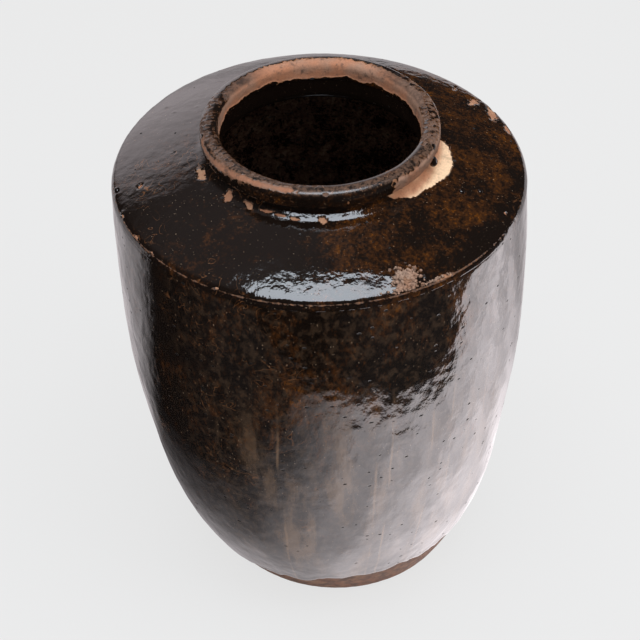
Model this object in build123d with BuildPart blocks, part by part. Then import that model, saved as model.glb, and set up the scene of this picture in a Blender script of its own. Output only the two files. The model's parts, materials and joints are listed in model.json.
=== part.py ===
import os
from math import cos, pi, radians, sin, tau

from build123d import *

# Glazed stoneware storage jar, in millimetres.
# The origin is the centre of the foot, on the ground. The jar stands along +Z,
# and the side that the photograph shows faces -Y.
# The potter's sections are luted on bevelled seats. The fired glaze is a thin
# coat over them, which stops in lobes above the foot and has come away in places.

# Clay surface of the body
belly_radius = 152.0
foot_radius = 101.0
arris_height = 361.5
arris_inset = 3.0
hip_inset = 12.5
foot_bevel = 2.5
arris_round = 2.5

# Shoulder, neck and rolled lip
mouth_radius = 72.5
lip_width = 13.0
lip_overhang = 1.5
lip_height = 14.0
lip_under = 3.0
neck_height = 9.0
neck_round = 6.0
shoulder_rise = 19.0
shoulder_bulge = 2.5

# Thickness of the clay and of its two coats of glaze
wall_thickness = 12.0
base_thickness = 14.0
shoulder_thickness = 11.0
outer_glaze_thickness = 1.0
inner_glaze_thickness = 1.2
glaze_gap = 0.05

# Underside, floor and the curves inside
foot_ring_width = 22.0
dish_depth = 1.8
floor_round = 14.0
shoulder_inner_round = 12.0
throat_round = 9.0
throat_step = 0.5
ring_count = 9
ring_depth = 0.6

# Bevelled seats, where one section is luted on the next
seat_fall = 4.0
shoulder_seat_drop = 17.0
collar_seat_gap = 3.0

# Edges of the glaze
bare_foot_height = 6.0
lobe_count = 17
lobe_rise = 7.0
glaze_lap_drop = 5.0

# Places where the glaze has come away, by angle from +X
neck_loss_width = 12.0
neck_loss_start = radians(-58.0)
neck_loss_end = radians(3.0)
chip_length = 11.0
chip_width = 6.5
chip_angles = (radians(-160.0), radians(-138.5), radians(-124.0), radians(-89.0))
scar_length = 42.0
scar_width = 7.0
scar_angle = radians(24.0)

# Kiln grit stuck to the edge of the shoulder, and beads of run glaze
grit_angle = radians(-66.5)
grit_length = 30.0
grit_width = 19.0
grit_stand = 5.0
grain_sides = 6
grain_taper = 24
bead_radius = 4.5
bead_stand = 1.8
bead_lie = (90.0, 0.0, 0.0)
bead_angles = (radians(-26.5), radians(-22.0), radians(-170.0))
tear_angle = radians(-20.8)
blob_angle = radians(-24.6)

# Heights on the wall in shares of the height of the arris
belly_share = 0.703
hip_share = 0.302
wall_seat_share = 0.487

# Rounds of the lip in shares of its width
outer_round_share = 0.5
inner_round_share = 0.42

# Width of each throwing ring and each lobe, in shares of the space that it has
ring_share = 0.8
lobe_share = 0.86
lobe_drift_share = 0.16
lobe_swing_share = 0.7

# Outlines in shares of a length and a width
chip_shares = ((-0.5, -0.1), (-0.3, 0.45), (0.15, 0.5), (0.5, 0.1), (0.3, -0.5), (-0.2, -0.4))
loss_shares = ((0.0, 0.2), (0.2, 0.45), (0.42, 0.8), (0.64, 1.0), (0.84, 0.85), (1.0, 0.25))
# Each grain: its place along and across the lump, its size and how far it stands
grain_shares = (
    (-0.28, 0.15, 0.34, 0.75),
    (0.02, -0.05, 0.42, 1.0),
    (0.3, 0.18, 0.3, 0.6),
    (0.12, -0.3, 0.28, 0.8),
)
# Beads on the shoulder, from the neck out to the arris
bead_shares = (0.4, 0.56, 0.97)

# Heights and radii that follow from the sizes above
arris_radius = belly_radius - arris_inset
hip_radius = belly_radius - hip_inset
belly_height = belly_share * arris_height
hip_height = hip_share * arris_height
wall_seat_height = wall_seat_share * arris_height
lip_radius = mouth_radius + lip_width
neck_radius = lip_radius - lip_overhang
lip_outer_round = outer_round_share * lip_width
lip_inner_round = inner_round_share * lip_width
root_height = arris_height + shoulder_rise
lip_seat_height = root_height + neck_height
crest_height = lip_seat_height + lip_height
throat_radius = mouth_radius + inner_glaze_thickness + throat_step
inner_arris_radius = arris_radius - wall_thickness
inside_radius = inner_arris_radius - wall_thickness
under_edge_height = arris_height - shoulder_thickness
under_root_height = root_height - shoulder_thickness
collar_seat_radius = neck_radius + neck_round + collar_seat_gap
shoulder_seat_height = arris_height - shoulder_seat_drop
glaze_lap_height = arris_height - glaze_lap_drop
dish_radius = foot_radius - foot_ring_width
dish_sphere = (dish_radius**2 + dish_depth**2) / (2 * dish_depth)
reach = 2 * belly_radius
top = 2 * crest_height


def body_line(inset, rise=0):
    """Draw the wall from the arris to the ground, moved in by inset."""
    upper = ThreePointArc(
        (arris_radius - inset, arris_height + rise),
        (belly_radius - inset, belly_height),
        (hip_radius - inset, hip_height),
    )
    lower = TangentArc(upper @ 1, (foot_radius - inset, 0), tangent=upper % 1)
    return upper, lower


def corner(sketch, place):
    """The corner of a profile that is nearest to a place."""
    return sketch.vertices().sort_by_distance(place)[0]


def seat_line(height):
    """A bevelled seat, which rises inwards through the wall and is level inside it."""
    rise = seat_fall / wall_thickness
    inside_height = height + rise * (arris_radius - inside_radius)
    outside_height = height - rise * (reach - arris_radius)
    return (0, inside_height), (inside_radius, inside_height), (reach, outside_height)


def polar(radius, angle):
    """A point in plan."""
    return (radius * cos(angle), radius * sin(angle))


def outside_section(coat):
    """Half section of the closed outside of the jar, under a coat."""
    neck = neck_radius + coat
    lip = lip_radius + coat
    root = root_height + coat
    crest = crest_height + coat
    with BuildSketch() as section:
        with BuildLine():
            upper, lower = body_line(-coat, rise=coat)
            Polyline(
                lower @ 1,
                (0, 0),
                (0, crest),
                (lip, crest),
                (lip, lip_seat_height + lip_under),
                (neck, lip_seat_height),
                (neck, root),
            )
            SagittaArc((neck, root), upper @ 0, shoulder_bulge)
        make_face()
        fillet(corner(section, (neck, root)), radius=neck_round - coat)
        fillet(corner(section, upper @ 0), radius=arris_round + coat)
        fillet(corner(section, (lip, crest)), radius=lip_outer_round + coat)
        chamfer(corner(section, lower @ 1), length=foot_bevel)
    return section.sketch


def hollow_section(coat):
    """Half section of the hollow below the lip, inside a coat."""
    inset = wall_thickness + coat
    floor = base_thickness + coat
    throat = throat_radius - coat
    under_edge = (arris_radius, under_edge_height - coat)
    under_root = (throat, under_root_height - coat)
    with BuildSketch() as section:
        with BuildLine():
            upper, lower = body_line(inset)
            Polyline(
                lower @ 1,
                (0, 0),
                (0, lip_seat_height),
                (inner_arris_radius, lip_seat_height),
                upper @ 0,
            )
        make_face()
        with BuildLine():
            Polyline(
                under_edge,
                (reach, under_edge_height),
                (reach, floor),
                (0, floor),
                (0, lip_seat_height),
                (throat, lip_seat_height),
                under_root,
            )
            SagittaArc(under_root, under_edge, shoulder_bulge)
        make_face(mode=Mode.INTERSECT)
        fillet(corner(section, (inner_arris_radius, under_edge_height)), radius=shoulder_inner_round - coat)
        fillet(corner(section, under_root), radius=throat_round + coat)
        floor_corner = section.vertices().group_by(Axis.Y)[0].sort_by(Axis.X)[-1]
        fillet(floor_corner, radius=floor_round - coat)
    return section.sketch


outside = outside_section(0)
hollow = hollow_section(0)

# Clay, in section: hollow, open at the mouth and dished underneath
with BuildSketch() as clay:
    add(outside)
    add(hollow, mode=Mode.SUBTRACT)
    with Locations((0, lip_seat_height)):
        Rectangle(mouth_radius, lip_height, align=Align.MIN, mode=Mode.SUBTRACT)
    fillet(corner(clay, (mouth_radius, crest_height)), radius=lip_inner_round)
    with Locations((0, dish_depth - dish_sphere)):
        Circle(dish_sphere, mode=Mode.SUBTRACT)

# Coats of glaze, in section, a hair off the clay
with BuildSketch() as outer_coat:
    add(outside_section(outer_glaze_thickness))
    add(outside_section(glaze_gap), mode=Mode.SUBTRACT)

with BuildSketch() as inner_coat:
    add(hollow_section(glaze_gap))
    add(hollow_section(inner_glaze_thickness), mode=Mode.SUBTRACT)
    # Shallow throwing rings, which the coat inside the wall takes up
    with BuildLine(mode=Mode.PRIVATE):
        inside_line, _ = body_line(wall_thickness + inner_glaze_thickness)
    half_ring = ring_share * inside_line.length / (ring_count + 1) / 2
    ring_radius = (half_ring**2 + ring_depth**2) / (2 * ring_depth)
    for ring in range(ring_count):
        share = (ring + 1) / (ring_count + 1)
        along = inside_line % share
        outward = Vector(-along.Y, along.X)
        with Locations((inside_line @ share) - outward * (ring_radius - ring_depth)):
            Circle(ring_radius, mode=Mode.SUBTRACT)


def turn_band(section, *corners):
    """Turn what an outline holds of a section about the axis."""
    with BuildSketch(Plane.XZ) as region:
        add(section.sketch)
        with BuildLine():
            Polyline(*corners, close=True)
        make_face(mode=Mode.INTERSECT)
    revolve(region.sketch, axis=Axis.Z)


def outline(shares, length, width):
    """Draw an uneven patch from shares of its length and width."""
    Polyline(*[(along * length, across * width) for along, across in shares], close=True)


os.makedirs("parts", exist_ok=True)

# Slab that the jar stands on, cut flat round a shallow dish
with BuildPart() as base_slab:
    turn_band(clay, (0, 0), (reach, 0), (reach, base_thickness), (0, base_thickness))
base_slab.part.label = "base_slab"
export_step(base_slab.part, "parts/base_slab.step")

# Walls, in two lifts with a bevelled seat between them
with BuildPart() as lower_wall:
    turn_band(clay, (0, base_thickness), (reach, base_thickness), *reversed(seat_line(wall_seat_height)))
lower_wall.part.label = "lower_wall"
export_step(lower_wall.part, "parts/lower_wall.step")

with BuildPart() as upper_wall:
    turn_band(clay, *seat_line(wall_seat_height), *reversed(seat_line(shoulder_seat_height)))
upper_wall.part.label = "upper_wall"
export_step(upper_wall.part, "parts/upper_wall.step")

# Shoulder, a thrown disc that laps over the wall and ends at the collar
with BuildPart() as shoulder:
    turn_band(clay, *seat_line(shoulder_seat_height), (reach, top), (0, top))
    with BuildSketch():
        Circle(collar_seat_radius)
    extrude(amount=top, mode=Mode.SUBTRACT)
shoulder.part.label = "shoulder"
export_step(shoulder.part, "parts/shoulder.step")

# Neck collar, with its curve down to the shoulder and the throat inside
with BuildPart() as neck_collar:
    turn_band(
        clay,
        (0, glaze_lap_height),
        (collar_seat_radius, glaze_lap_height),
        (collar_seat_radius, lip_seat_height),
        (0, lip_seat_height),
    )
neck_collar.part.label = "neck_collar"
export_step(neck_collar.part, "parts/neck_collar.step")

# Rolled lip, left bare on top and inside
with BuildPart() as rim_lip:
    turn_band(clay, (0, lip_seat_height), (reach, lip_seat_height), (reach, top), (0, top))
rim_lip.part.label = "rim_lip"
export_step(rim_lip.part, "parts/rim_lip.step")

# Glaze inside, from the floor to the foot of the lip
with BuildPart() as inner_glaze:
    turn_band(inner_coat, (0, 0), (reach, 0), (reach, lip_seat_height), (0, lip_seat_height))
inner_glaze.part.label = "inner_glaze"
export_step(inner_glaze.part, "parts/inner_glaze.step")

# Glaze on the wall, which ends in lobes above the bare foot
lobe_pitch = tau * foot_radius / lobe_count
with BuildPart() as wall_glaze:
    turn_band(
        outer_coat,
        (0, bare_foot_height),
        (reach, bare_foot_height),
        (reach, glaze_lap_height),
        (0, glaze_lap_height),
    )
    for lobe in range(lobe_count):
        angle = tau * (lobe + lobe_drift_share * sin(lobe**2)) / lobe_count
        rise = lobe_rise * (1 - lobe_swing_share * (1 - cos(lobe**2)) / 2)
        half_gap = lobe_pitch * lobe_share / 2
        hollow_radius = (half_gap**2 + rise**2) / (2 * rise)
        place = Plane(
            origin=(0, 0, bare_foot_height + rise - hollow_radius),
            z_dir=(cos(angle), sin(angle), 0),
        )
        with Locations(place):
            Cylinder(
                hollow_radius,
                reach,
                align=(Align.CENTER, Align.CENTER, Align.MIN),
                mode=Mode.SUBTRACT,
            )
wall_glaze.part.label = "wall_glaze"
export_step(wall_glaze.part, "parts/wall_glaze.step")


# Glaze on the shoulder, the neck and the outside of the lip, with its losses
loss_foot_radius = neck_radius - outer_glaze_thickness
loss_line = [
    polar(
        neck_radius + outer_glaze_thickness + neck_loss_width * out,
        neck_loss_start + (neck_loss_end - neck_loss_start) * along,
    )
    for along, out in loss_shares
]
with BuildPart() as shoulder_glaze:
    turn_band(
        outer_coat,
        (neck_radius - lip_under, glaze_lap_height),
        (reach, glaze_lap_height),
        (reach, crest_height - lip_outer_round),
        (neck_radius - lip_under, crest_height - lip_outer_round),
    )
    with BuildSketch(Plane.XY.offset(arris_height)):
        with BuildLine():
            outer_edge = Spline(*loss_line)
            middle = (neck_loss_start + neck_loss_end) / 2
            ThreePointArc(
                polar(loss_foot_radius, neck_loss_end),
                polar(loss_foot_radius, middle),
                polar(loss_foot_radius, neck_loss_start),
            )
            Line(outer_edge @ 1, polar(loss_foot_radius, neck_loss_end))
            Line(outer_edge @ 0, polar(loss_foot_radius, neck_loss_start))
        make_face()
    extrude(amount=lip_seat_height - arris_height, mode=Mode.SUBTRACT)
    for angle in chip_angles:
        chip_place = polar(neck_radius + neck_round, angle)
        with BuildSketch(Plane((*chip_place, arris_height), x_dir=(-sin(angle), cos(angle), 0))):
            with BuildLine():
                outline(chip_shares, chip_length, chip_width)
            make_face()
        extrude(amount=lip_seat_height - arris_height, mode=Mode.SUBTRACT)
    scar_place = polar(arris_radius - scar_width, scar_angle)
    with BuildSketch(Plane((*scar_place, glaze_lap_height), x_dir=(-sin(scar_angle), cos(scar_angle), 0))):
        with BuildLine():
            outline(chip_shares, scar_length, scar_width)
        make_face()
    extrude(amount=lip_seat_height - arris_height, mode=Mode.SUBTRACT)
shoulder_glaze.part.label = "shoulder_glaze"
export_step(shoulder_glaze.part, "parts/shoulder_glaze.step")


def shoulder_top(radius):
    """Height of the glazed shoulder at a radius, with its bulge."""
    out = (radius - neck_radius) / (arris_radius - neck_radius)
    bulge = 4 * shoulder_bulge * out * (1 - out)
    return root_height + outer_glaze_thickness + bulge - shoulder_rise * out


# Lump of kiln grit, fused grains seated on the edge of the shoulder
with BuildPart() as kiln_grit:
    for along, across, size, stand in grain_shares:
        radius = arris_radius - grit_width / 2 + across * grit_width
        angle = grit_angle + along * grit_length / arris_radius
        place = Plane((*polar(radius, angle), arris_height), x_dir=(*polar(1, angle), 0))
        with BuildSketch(place):
            RegularPolygon(size * grit_length, grain_sides)
        extrude(
            amount=shoulder_top(radius) - arris_height + stand * grit_stand,
            taper=grain_taper,
        )
    with BuildSketch(Plane.XZ) as glazed_outside:
        add(outside_section(outer_glaze_thickness + glaze_gap))
    revolve(glazed_outside.sketch, axis=Axis.Z, mode=Mode.SUBTRACT)
kiln_grit.part.label = "kiln_grit"
export_step(kiln_grit.part, "parts/kiln_grit.step")

# Beads of run glaze on the shoulder, one on the bare neck and one on the lip
bead_depth = bead_radius - bead_stand
half_right = cos(pi / 4)
tear_radius = neck_radius + neck_round - half_right * (neck_round + bead_depth)
tear_height = root_height + neck_round - half_right * (neck_round + bead_depth)
blob_radius = lip_radius - lip_outer_round + half_right * (lip_outer_round - bead_depth)
blob_height = crest_height - lip_outer_round + half_right * (lip_outer_round - bead_depth)
with BuildSketch(Plane.XZ) as bare_outside:
    add(outside_section(glaze_gap))
with BuildPart() as bare_beads:
    with Locations(
        (*polar(tear_radius, tear_angle), tear_height),
        (*polar(blob_radius, blob_angle), blob_height),
    ):
        Sphere(bead_radius, rotation=bead_lie)
    revolve(bare_outside.sketch, axis=Axis.Z, mode=Mode.SUBTRACT)
with BuildPart() as glaze_beads:
    for angle, share in zip(bead_angles, bead_shares):
        radius = neck_radius + share * (arris_radius - neck_radius)
        with Locations((*polar(radius, angle), shoulder_top(radius) - bead_depth)):
            Sphere(bead_radius, rotation=bead_lie)
    revolve(glazed_outside.sketch, axis=Axis.Z, mode=Mode.SUBTRACT)
    add(bare_beads.part)
glaze_beads.part.label = "glaze_beads"
export_step(glaze_beads.part, "parts/glaze_beads.step")
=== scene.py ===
"""Glazed stoneware storage jar: its visible pieces, their finishes and a small studio.

Every piece is turned about the jar's axis from the same few sizes, thrown a little out of true,
and stands for one node of the measured frame.
"""

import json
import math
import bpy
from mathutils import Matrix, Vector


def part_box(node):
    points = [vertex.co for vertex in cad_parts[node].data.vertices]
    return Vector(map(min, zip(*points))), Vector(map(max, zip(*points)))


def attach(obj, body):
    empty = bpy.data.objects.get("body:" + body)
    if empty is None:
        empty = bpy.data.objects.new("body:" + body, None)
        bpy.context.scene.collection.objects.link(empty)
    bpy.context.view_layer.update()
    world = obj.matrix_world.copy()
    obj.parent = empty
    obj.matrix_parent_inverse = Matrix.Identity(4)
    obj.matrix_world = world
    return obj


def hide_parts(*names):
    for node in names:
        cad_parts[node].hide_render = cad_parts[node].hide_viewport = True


bl_info = {
    "name": "Storage Jar Maker",
    "version": (1, 0, 0),
    "blender": (4, 5, 0),
    "location": "View3D > Sidebar > Jar",
    "description": "Builds a glazed stoneware storage jar with its finishes and a small studio",
    "category": "Add Mesh",
}

import bmesh
import bpy
import numpy as np
from bpy.props import FloatProperty, FloatVectorProperty, PointerProperty
from mathutils import Matrix, Vector, noise

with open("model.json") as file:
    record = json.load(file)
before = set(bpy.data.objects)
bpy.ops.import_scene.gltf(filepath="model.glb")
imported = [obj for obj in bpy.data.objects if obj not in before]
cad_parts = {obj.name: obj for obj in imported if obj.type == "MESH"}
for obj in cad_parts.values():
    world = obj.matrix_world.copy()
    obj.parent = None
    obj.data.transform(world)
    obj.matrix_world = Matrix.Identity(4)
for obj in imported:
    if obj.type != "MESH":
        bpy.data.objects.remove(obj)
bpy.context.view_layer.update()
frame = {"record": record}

MM = 0.001
TURN = 2 * math.pi
BODY = "root"

# Places read off the frame
LIP_LOW, LIP_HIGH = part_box("rim_lip")
SLAB_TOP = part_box("base_slab")[1].z
BELLY_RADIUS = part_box("upper_wall")[1].x
LAP_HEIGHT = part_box("shoulder_glaze")[0].z
MOUTH = next(mount for mount in frame["record"]["mounts"] if mount["name"] == "mouth")
MOUTH_RADIUS = MOUTH["dims"]["r_mm"] * MM

# Heights on the wall in shares of the height of the arris
BELLY_SHARE = 0.703
HIP_SHARE = 0.302
WALL_SEAT_SHARE = 0.487
# Rounding of the lip's inner edge as a share of its outer one
LIP_INSIDE_ROUND_SHARE = 0.9

# Places nearer than this are welded into one
WELD_REACH = 0.002 * MM
# Each octave of cloudy noise is finer by the step and weaker by the step to the power of the fall
CLOUD_FALL, CLOUD_STEP = 0.9, 2.1


def wrapped(angle):
    """An angle brought between minus and plus half a turn."""
    return (angle + math.pi) % TURN - math.pi


def smooth(low, high, value):
    """A share that eases from 0 at low to 1 at high."""
    share = np.clip((value - low) / (high - low), 0, 1)
    return share * share * (3 - 2 * share)


def hump(turn, centre, half_width, softness):
    """1 within half_width degrees of a centre in degrees, easing to 0 over a softness."""
    away = np.abs(wrapped(turn - math.radians(centre)))
    return 1 - smooth(math.radians(half_width), math.radians(half_width + softness), away)


def ridge(away, width):
    """1 on a line, falling off on both sides of it over a width."""
    return np.exp(-((away / width) ** 2))


def between(rise, fall, value):
    """1 in a stretch that eases in over the rise and out over the fall, where these are given."""
    share = smooth(*rise, value) if rise else 1
    return share * (1 - smooth(*fall, value)) if fall else share


def clouds(points, scale, octaves=3, seed=0.0):
    """Cloudy noise about zero at places in metres, with a scale per metre on each axis."""
    spots = points * np.asarray(scale, float) + seed
    shape = spots.shape[:-1]
    values = [
        noise.fractal(spot, CLOUD_FALL, CLOUD_STEP, octaves) for spot in spots.reshape(-1, 3).tolist()
    ]
    return np.array(values).reshape(shape)


# Outlines of the half section, as rows of radius and height


def arc(start, middle, end, step):
    """Points along the circle through three places."""
    (ax, ay), (bx, by), (cx, cy) = start, middle, end
    sides = np.array([[bx - ax, by - ay], [cx - ax, cy - ay]]) * 2
    squares = np.array([bx**2 - ax**2 + by**2 - ay**2, cx**2 - ax**2 + cy**2 - ay**2])
    ox, oy = np.linalg.solve(sides, squares)
    radius = math.hypot(ax - ox, ay - oy)
    first = math.atan2(ay - oy, ax - ox)
    half = wrapped(math.atan2(by - oy, bx - ox) - first)
    rest = wrapped(math.atan2(cy - oy, cx - ox) - first - half)
    count = max(2, math.ceil(radius * abs(half + rest) / step))
    turns = first + np.linspace(0, half + rest, count + 1)
    return np.stack((ox + radius * np.cos(turns), oy + radius * np.sin(turns)), -1)


def bulged(start, end, bulge, step):
    """Points along an arc that stands to the left of its chord by a bulge."""
    start, end = np.array(start), np.array(end)
    along = (end - start) / np.linalg.norm(end - start)
    middle = (start + end) / 2 + bulge * np.array((-along[1], along[0]))
    return arc(start, middle, end, step)


def tangent_arc(start, heading, end, step):
    """Points along the arc that leaves a place in a heading and ends at another."""
    start, end = np.array(start), np.array(end)
    left = np.array((-heading[1], heading[0]))
    chord = end - start
    radius = chord @ chord / (2 * chord @ left)
    centre = start + left * radius
    middle = (start + end) / 2 - centre
    middle = centre + middle / np.linalg.norm(middle) * abs(radius)
    return arc(start, middle, end, step)


def straight(start, end, step):
    """Points along a straight stretch."""
    start, end = np.array(start, float), np.array(end, float)
    count = max(1, math.ceil(np.linalg.norm(end - start) / step))
    return start + np.linspace(0, 1, count + 1)[:, None] * (end - start)


class Outline:
    """A line of the half section, read by the length along it."""

    def __init__(self, points):
        self.points = np.asarray(points, float)
        steps = np.linalg.norm(np.diff(self.points, axis=0), axis=1)
        self.along = np.concatenate(([0.0], np.cumsum(steps)))
        self.length = self.along[-1]

    def place(self, along):
        """Radius and height at a length along the line."""
        return np.stack([np.interp(along, self.along, self.points[:, i]) for i in (0, 1)], -1)

    def outward(self, along, reach=0.6 * MM):
        """The direction square to the line, to the right of its heading."""
        heading = self.place(along + reach) - self.place(along - reach)
        heading /= np.linalg.norm(heading, axis=-1, keepdims=True)
        return np.stack((heading[..., 1], -heading[..., 0]), -1)

    def nearest(self, radius, height):
        """The length along the line that is nearest to a place."""
        return self.along[np.argmin(np.hypot(self.points[:, 0] - radius, self.points[:, 1] - height))]

    def span(self, start, end, step):
        """Places from one length along the line to another, either way, in even steps."""
        count = max(1, math.ceil(abs(end - start) / step))
        return self.place(np.linspace(start, end, count + 1))


def eased(runs, reaches, step):
    """One line through runs of points, each corner rounded over a reach before and after it."""
    line = [runs[0]]
    for run, reach in zip(runs[1:], reaches):
        if reach:
            before, after = Outline(line[-1]), Outline(run)
            enter = before.place(before.length - reach)
            leave = after.place(np.array(reach))
            share = np.linspace(0, 1, max(4, math.ceil(2 * reach / step)))[:, None]
            curve = (1 - share) ** 2 * enter + 2 * share * (1 - share) * run[0] + share**2 * leave
            line[-1] = before.points[before.along < before.length - reach]
            line += [curve, after.points[after.along > reach]]
        else:
            line.append(run[1:])
    return np.concatenate(line)


class Profile:
    """The jar's outside and hollow in section, with the places of its landmarks."""

    def __init__(self, shape, step=0.4 * MM):
        self.shape, self.step = shape, step
        self.lip_radius = shape.mouth_radius + shape.lip_width
        self.neck_radius = self.lip_radius - shape.lip_overhang
        self.arris = (shape.belly_radius - shape.arris_inset, shape.arris_height)
        self.root = (self.neck_radius, shape.arris_height + shape.shoulder_rise + shape.root_lift)
        self.lip_seat = shape.arris_height + shape.shoulder_rise + shape.neck_height
        self.crest = self.lip_seat + shape.lip_height
        self.outside = self.draw_outside()
        self.hollow = self.draw_hollow()

    def wall(self, inset):
        """Points up the wall from the ground to the arris, moved in by an inset."""
        s = self.shape
        hip = (s.belly_radius - s.hip_inset - inset, HIP_SHARE * s.arris_height)
        belly = (s.belly_radius - inset, BELLY_SHARE * s.arris_height)
        upper = arc(hip, belly, (self.arris[0] - inset, s.arris_height), self.step)
        heading = (upper[0] - upper[1]) / np.linalg.norm(upper[0] - upper[1])
        lower = tangent_arc(hip, heading, (s.foot_radius - inset, 0), self.step)[::-1]
        return np.concatenate((lower, upper[1:]))

    def draw_outside(self):
        """The line from the bevel of the foot over the wall, shoulder, neck and lip into the mouth."""
        s, step = self.shape, self.step
        wall = Outline(self.wall(0))
        foot = np.concatenate((
            straight((s.foot_radius - s.foot_bevel, 0), wall.place(np.array(s.foot_bevel)), step),
            wall.points[wall.along > s.foot_bevel],
        ))
        top = Outline(bulged(self.arris, self.root, -s.shoulder_bulge, step))
        shoulder = top.points[top.along < top.length - s.cove_width]
        corners = (
            shoulder[-1],
            (self.neck_radius, self.root[1] + s.cove_rise),
            (self.neck_radius, self.lip_seat),
            (self.lip_radius, self.lip_seat + s.lip_under),
            (self.lip_radius, self.crest),
            (s.mouth_radius, self.crest),
            (s.mouth_radius, self.lip_seat),
        )
        rest = [straight(start, end, step) for start, end in zip(corners, corners[1:])]
        rounding = (
            s.arris_round, s.neck_round, s.neck_round / 2, 0, s.lip_under / 2, s.lip_round,
            s.lip_round * LIP_INSIDE_ROUND_SHARE,
        )
        return Outline(eased((foot, shoulder, *rest), rounding, step))

    def draw_hollow(self):
        """The line from the middle of the floor up the inside of the wall and into the throat."""
        s, step = self.shape, self.step
        throat = s.mouth_radius + s.inside_coat + s.throat_step
        under_edge = (self.arris[0], s.arris_height - s.shoulder_thickness)
        under_root = (throat, self.root[1] - s.shoulder_thickness)
        inside = self.wall(s.wall_thickness)
        inside = inside[(inside[:, 1] > s.base_thickness) & (inside[:, 1] < under_edge[1])]
        under = bulged(under_edge, under_root, -s.shoulder_bulge, step)
        under = under[under[:, 0] < inside[-1, 0]]
        floor_edge = (inside[0, 0], s.base_thickness)
        corner = (inside[-1, 0], under[0, 1])
        runs = (
            straight((0, s.base_thickness), floor_edge, step),
            np.concatenate(([floor_edge], inside, [corner])),
            np.concatenate(([corner], under)),
            straight(under_root, (throat, self.lip_seat), step),
        )
        return Outline(eased(runs, (s.floor_round, s.inside_round, s.throat_round), step))

    def along_shoulder(self, radius):
        """The length along the outside where the shoulder has a radius."""
        share = (radius - self.root[0]) / (self.arris[0] - self.root[0])
        return self.outside.nearest(radius, self.root[1] - self.shape.shoulder_rise * share)


def true_to_hand(shape, turn, radius, height):
    """Where a place on a true jar lies on the hand-thrown one, which leans and is a little oval."""
    depth = np.clip(1 - height / shape.arris_height, 0, 1)
    above = smooth(0, 40 * MM, height - shape.arris_height)
    sway = shape.lean * (0.6 * depth + 0.5 * depth**7 + 0.12 * above - 0.4)
    body = smooth(0.0, 0.5, depth) * (1 - 0.6 * smooth(0.75, 1.0, depth))
    wobble = shape.wobble * (
        (0.25 + 0.75 * body) * np.sin(2 * turn + 0.8)
        + body * np.sin(3 * turn + 9 * depth)
        + 0.6 * body * np.sin(5 * turn - 14 * depth + 2)
    )
    radius = radius + wobble * np.clip(radius / shape.belly_radius, 0, 1)
    return np.stack((radius * np.cos(turn) + sway, radius * np.sin(turn), height), -1)


# Meshes


def ring_quads(rows, columns, loop):
    """Faces between the rings of a turned piece, closed round the section where it is a loop."""
    row, column = np.meshgrid(np.arange(rows if loop else rows - 1), np.arange(columns), indexing="ij")
    above = (row + 1) % rows
    beside = (column + 1) % columns
    corners = (
        row * columns + column,
        row * columns + beside,
        above * columns + beside,
        above * columns + column,
    )
    return np.stack(corners, -1).reshape(-1, 4)


def put_in_scene(name, data):
    """A new object of the scene that shows the data."""
    made = bpy.data.objects.new(name, data)
    bpy.context.scene.collection.objects.link(made)
    return made


def make_piece(name, points, faces, paints, material, node, sharp=50):
    """A finished mesh piece that rides on the jar and stands for a node of the frame."""
    mesh = bpy.data.meshes.new(name)
    mesh.from_pydata(points.reshape(-1, 3).tolist(), [], faces.tolist())
    for paint, values in paints.items():
        layer = mesh.attributes.new(paint, "FLOAT", "POINT")
        layer.data.foreach_set("value", np.ravel(values).astype(np.float32))
    shell = bmesh.new()
    shell.from_mesh(mesh)
    bmesh.ops.remove_doubles(shell, verts=shell.verts, dist=WELD_REACH)
    bmesh.ops.recalc_face_normals(shell, faces=shell.faces)
    shell.to_mesh(mesh)
    shell.free()
    mesh.shade_smooth()
    mesh.set_sharp_from_angle(angle=math.radians(sharp))
    mesh.materials.append(material)
    if not mesh.polygons or not np.isfinite(points).all():
        raise RuntimeError(f"{name} has no faces, or a size has broken its shape")
    piece = put_in_scene(name, mesh)
    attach(piece, BODY)
    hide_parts(node)
    return piece


def columns_round(count):
    """The angles of columns evenly spaced round the jar, as a row."""
    return np.linspace(0, TURN, count, endpoint=False)[None, :]


def ring_clouds(turn, scale, octaves, seed):
    """Cloudy noise round the jar that closes on itself, by angle alone."""
    return clouds(np.stack((np.cos(turn), np.sin(turn), 0 * turn), -1), scale, octaves, seed)


def lifted(spot, out, lift):
    """Radius and height of places on an outline, moved out of it by a lift."""
    return spot[..., 0] + out[..., 0] * lift, spot[..., 1] + out[..., 1] * lift


def closed_form(shape, turn, front, back, loop=True):
    """Places and faces of a turned piece whose back rows close what its front leaves open."""
    radius, level = (np.concatenate(rows) for rows in zip(front, back))
    turns = np.concatenate((turn, turn[:1] + 0 * back[0]))
    return true_to_hand(shape, turns, radius, level), ring_quads(*radius.shape, loop)


def painted_front(paints, back):
    """Paints of the front rows of a piece, each left at 0 on its back rows."""
    return {name: np.concatenate((values, 0 * back)) for name, values in paints.items()}


# Clay

# The bare patch beside the neck: its centre, half width and softness in degrees, where the
# front of the jar is at -90, and the radius that it lies inside
PATCH_SIDE = (-26, 27, 6)
PATCH_REACH = 101 * MM


def clay_paints(shape, turn, radius, height):
    """Flush and soot of the clay: pale where the glaze broke off, sooty at the foot."""
    on_top = height > shape.arris_height
    fresh = hump(turn, *PATCH_SIDE) * (radius < PATCH_REACH) * on_top
    near_top = height > shape.arris_height - 4 * MM
    return {
        "blush": 0.75 - 0.75 * fresh * smooth(84 * MM, 91 * MM, radius),
        "soot": 1.0 - smooth(55 * MM, 65 * MM, height) + 0.35 * near_top * (1 - fresh),
    }


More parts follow.
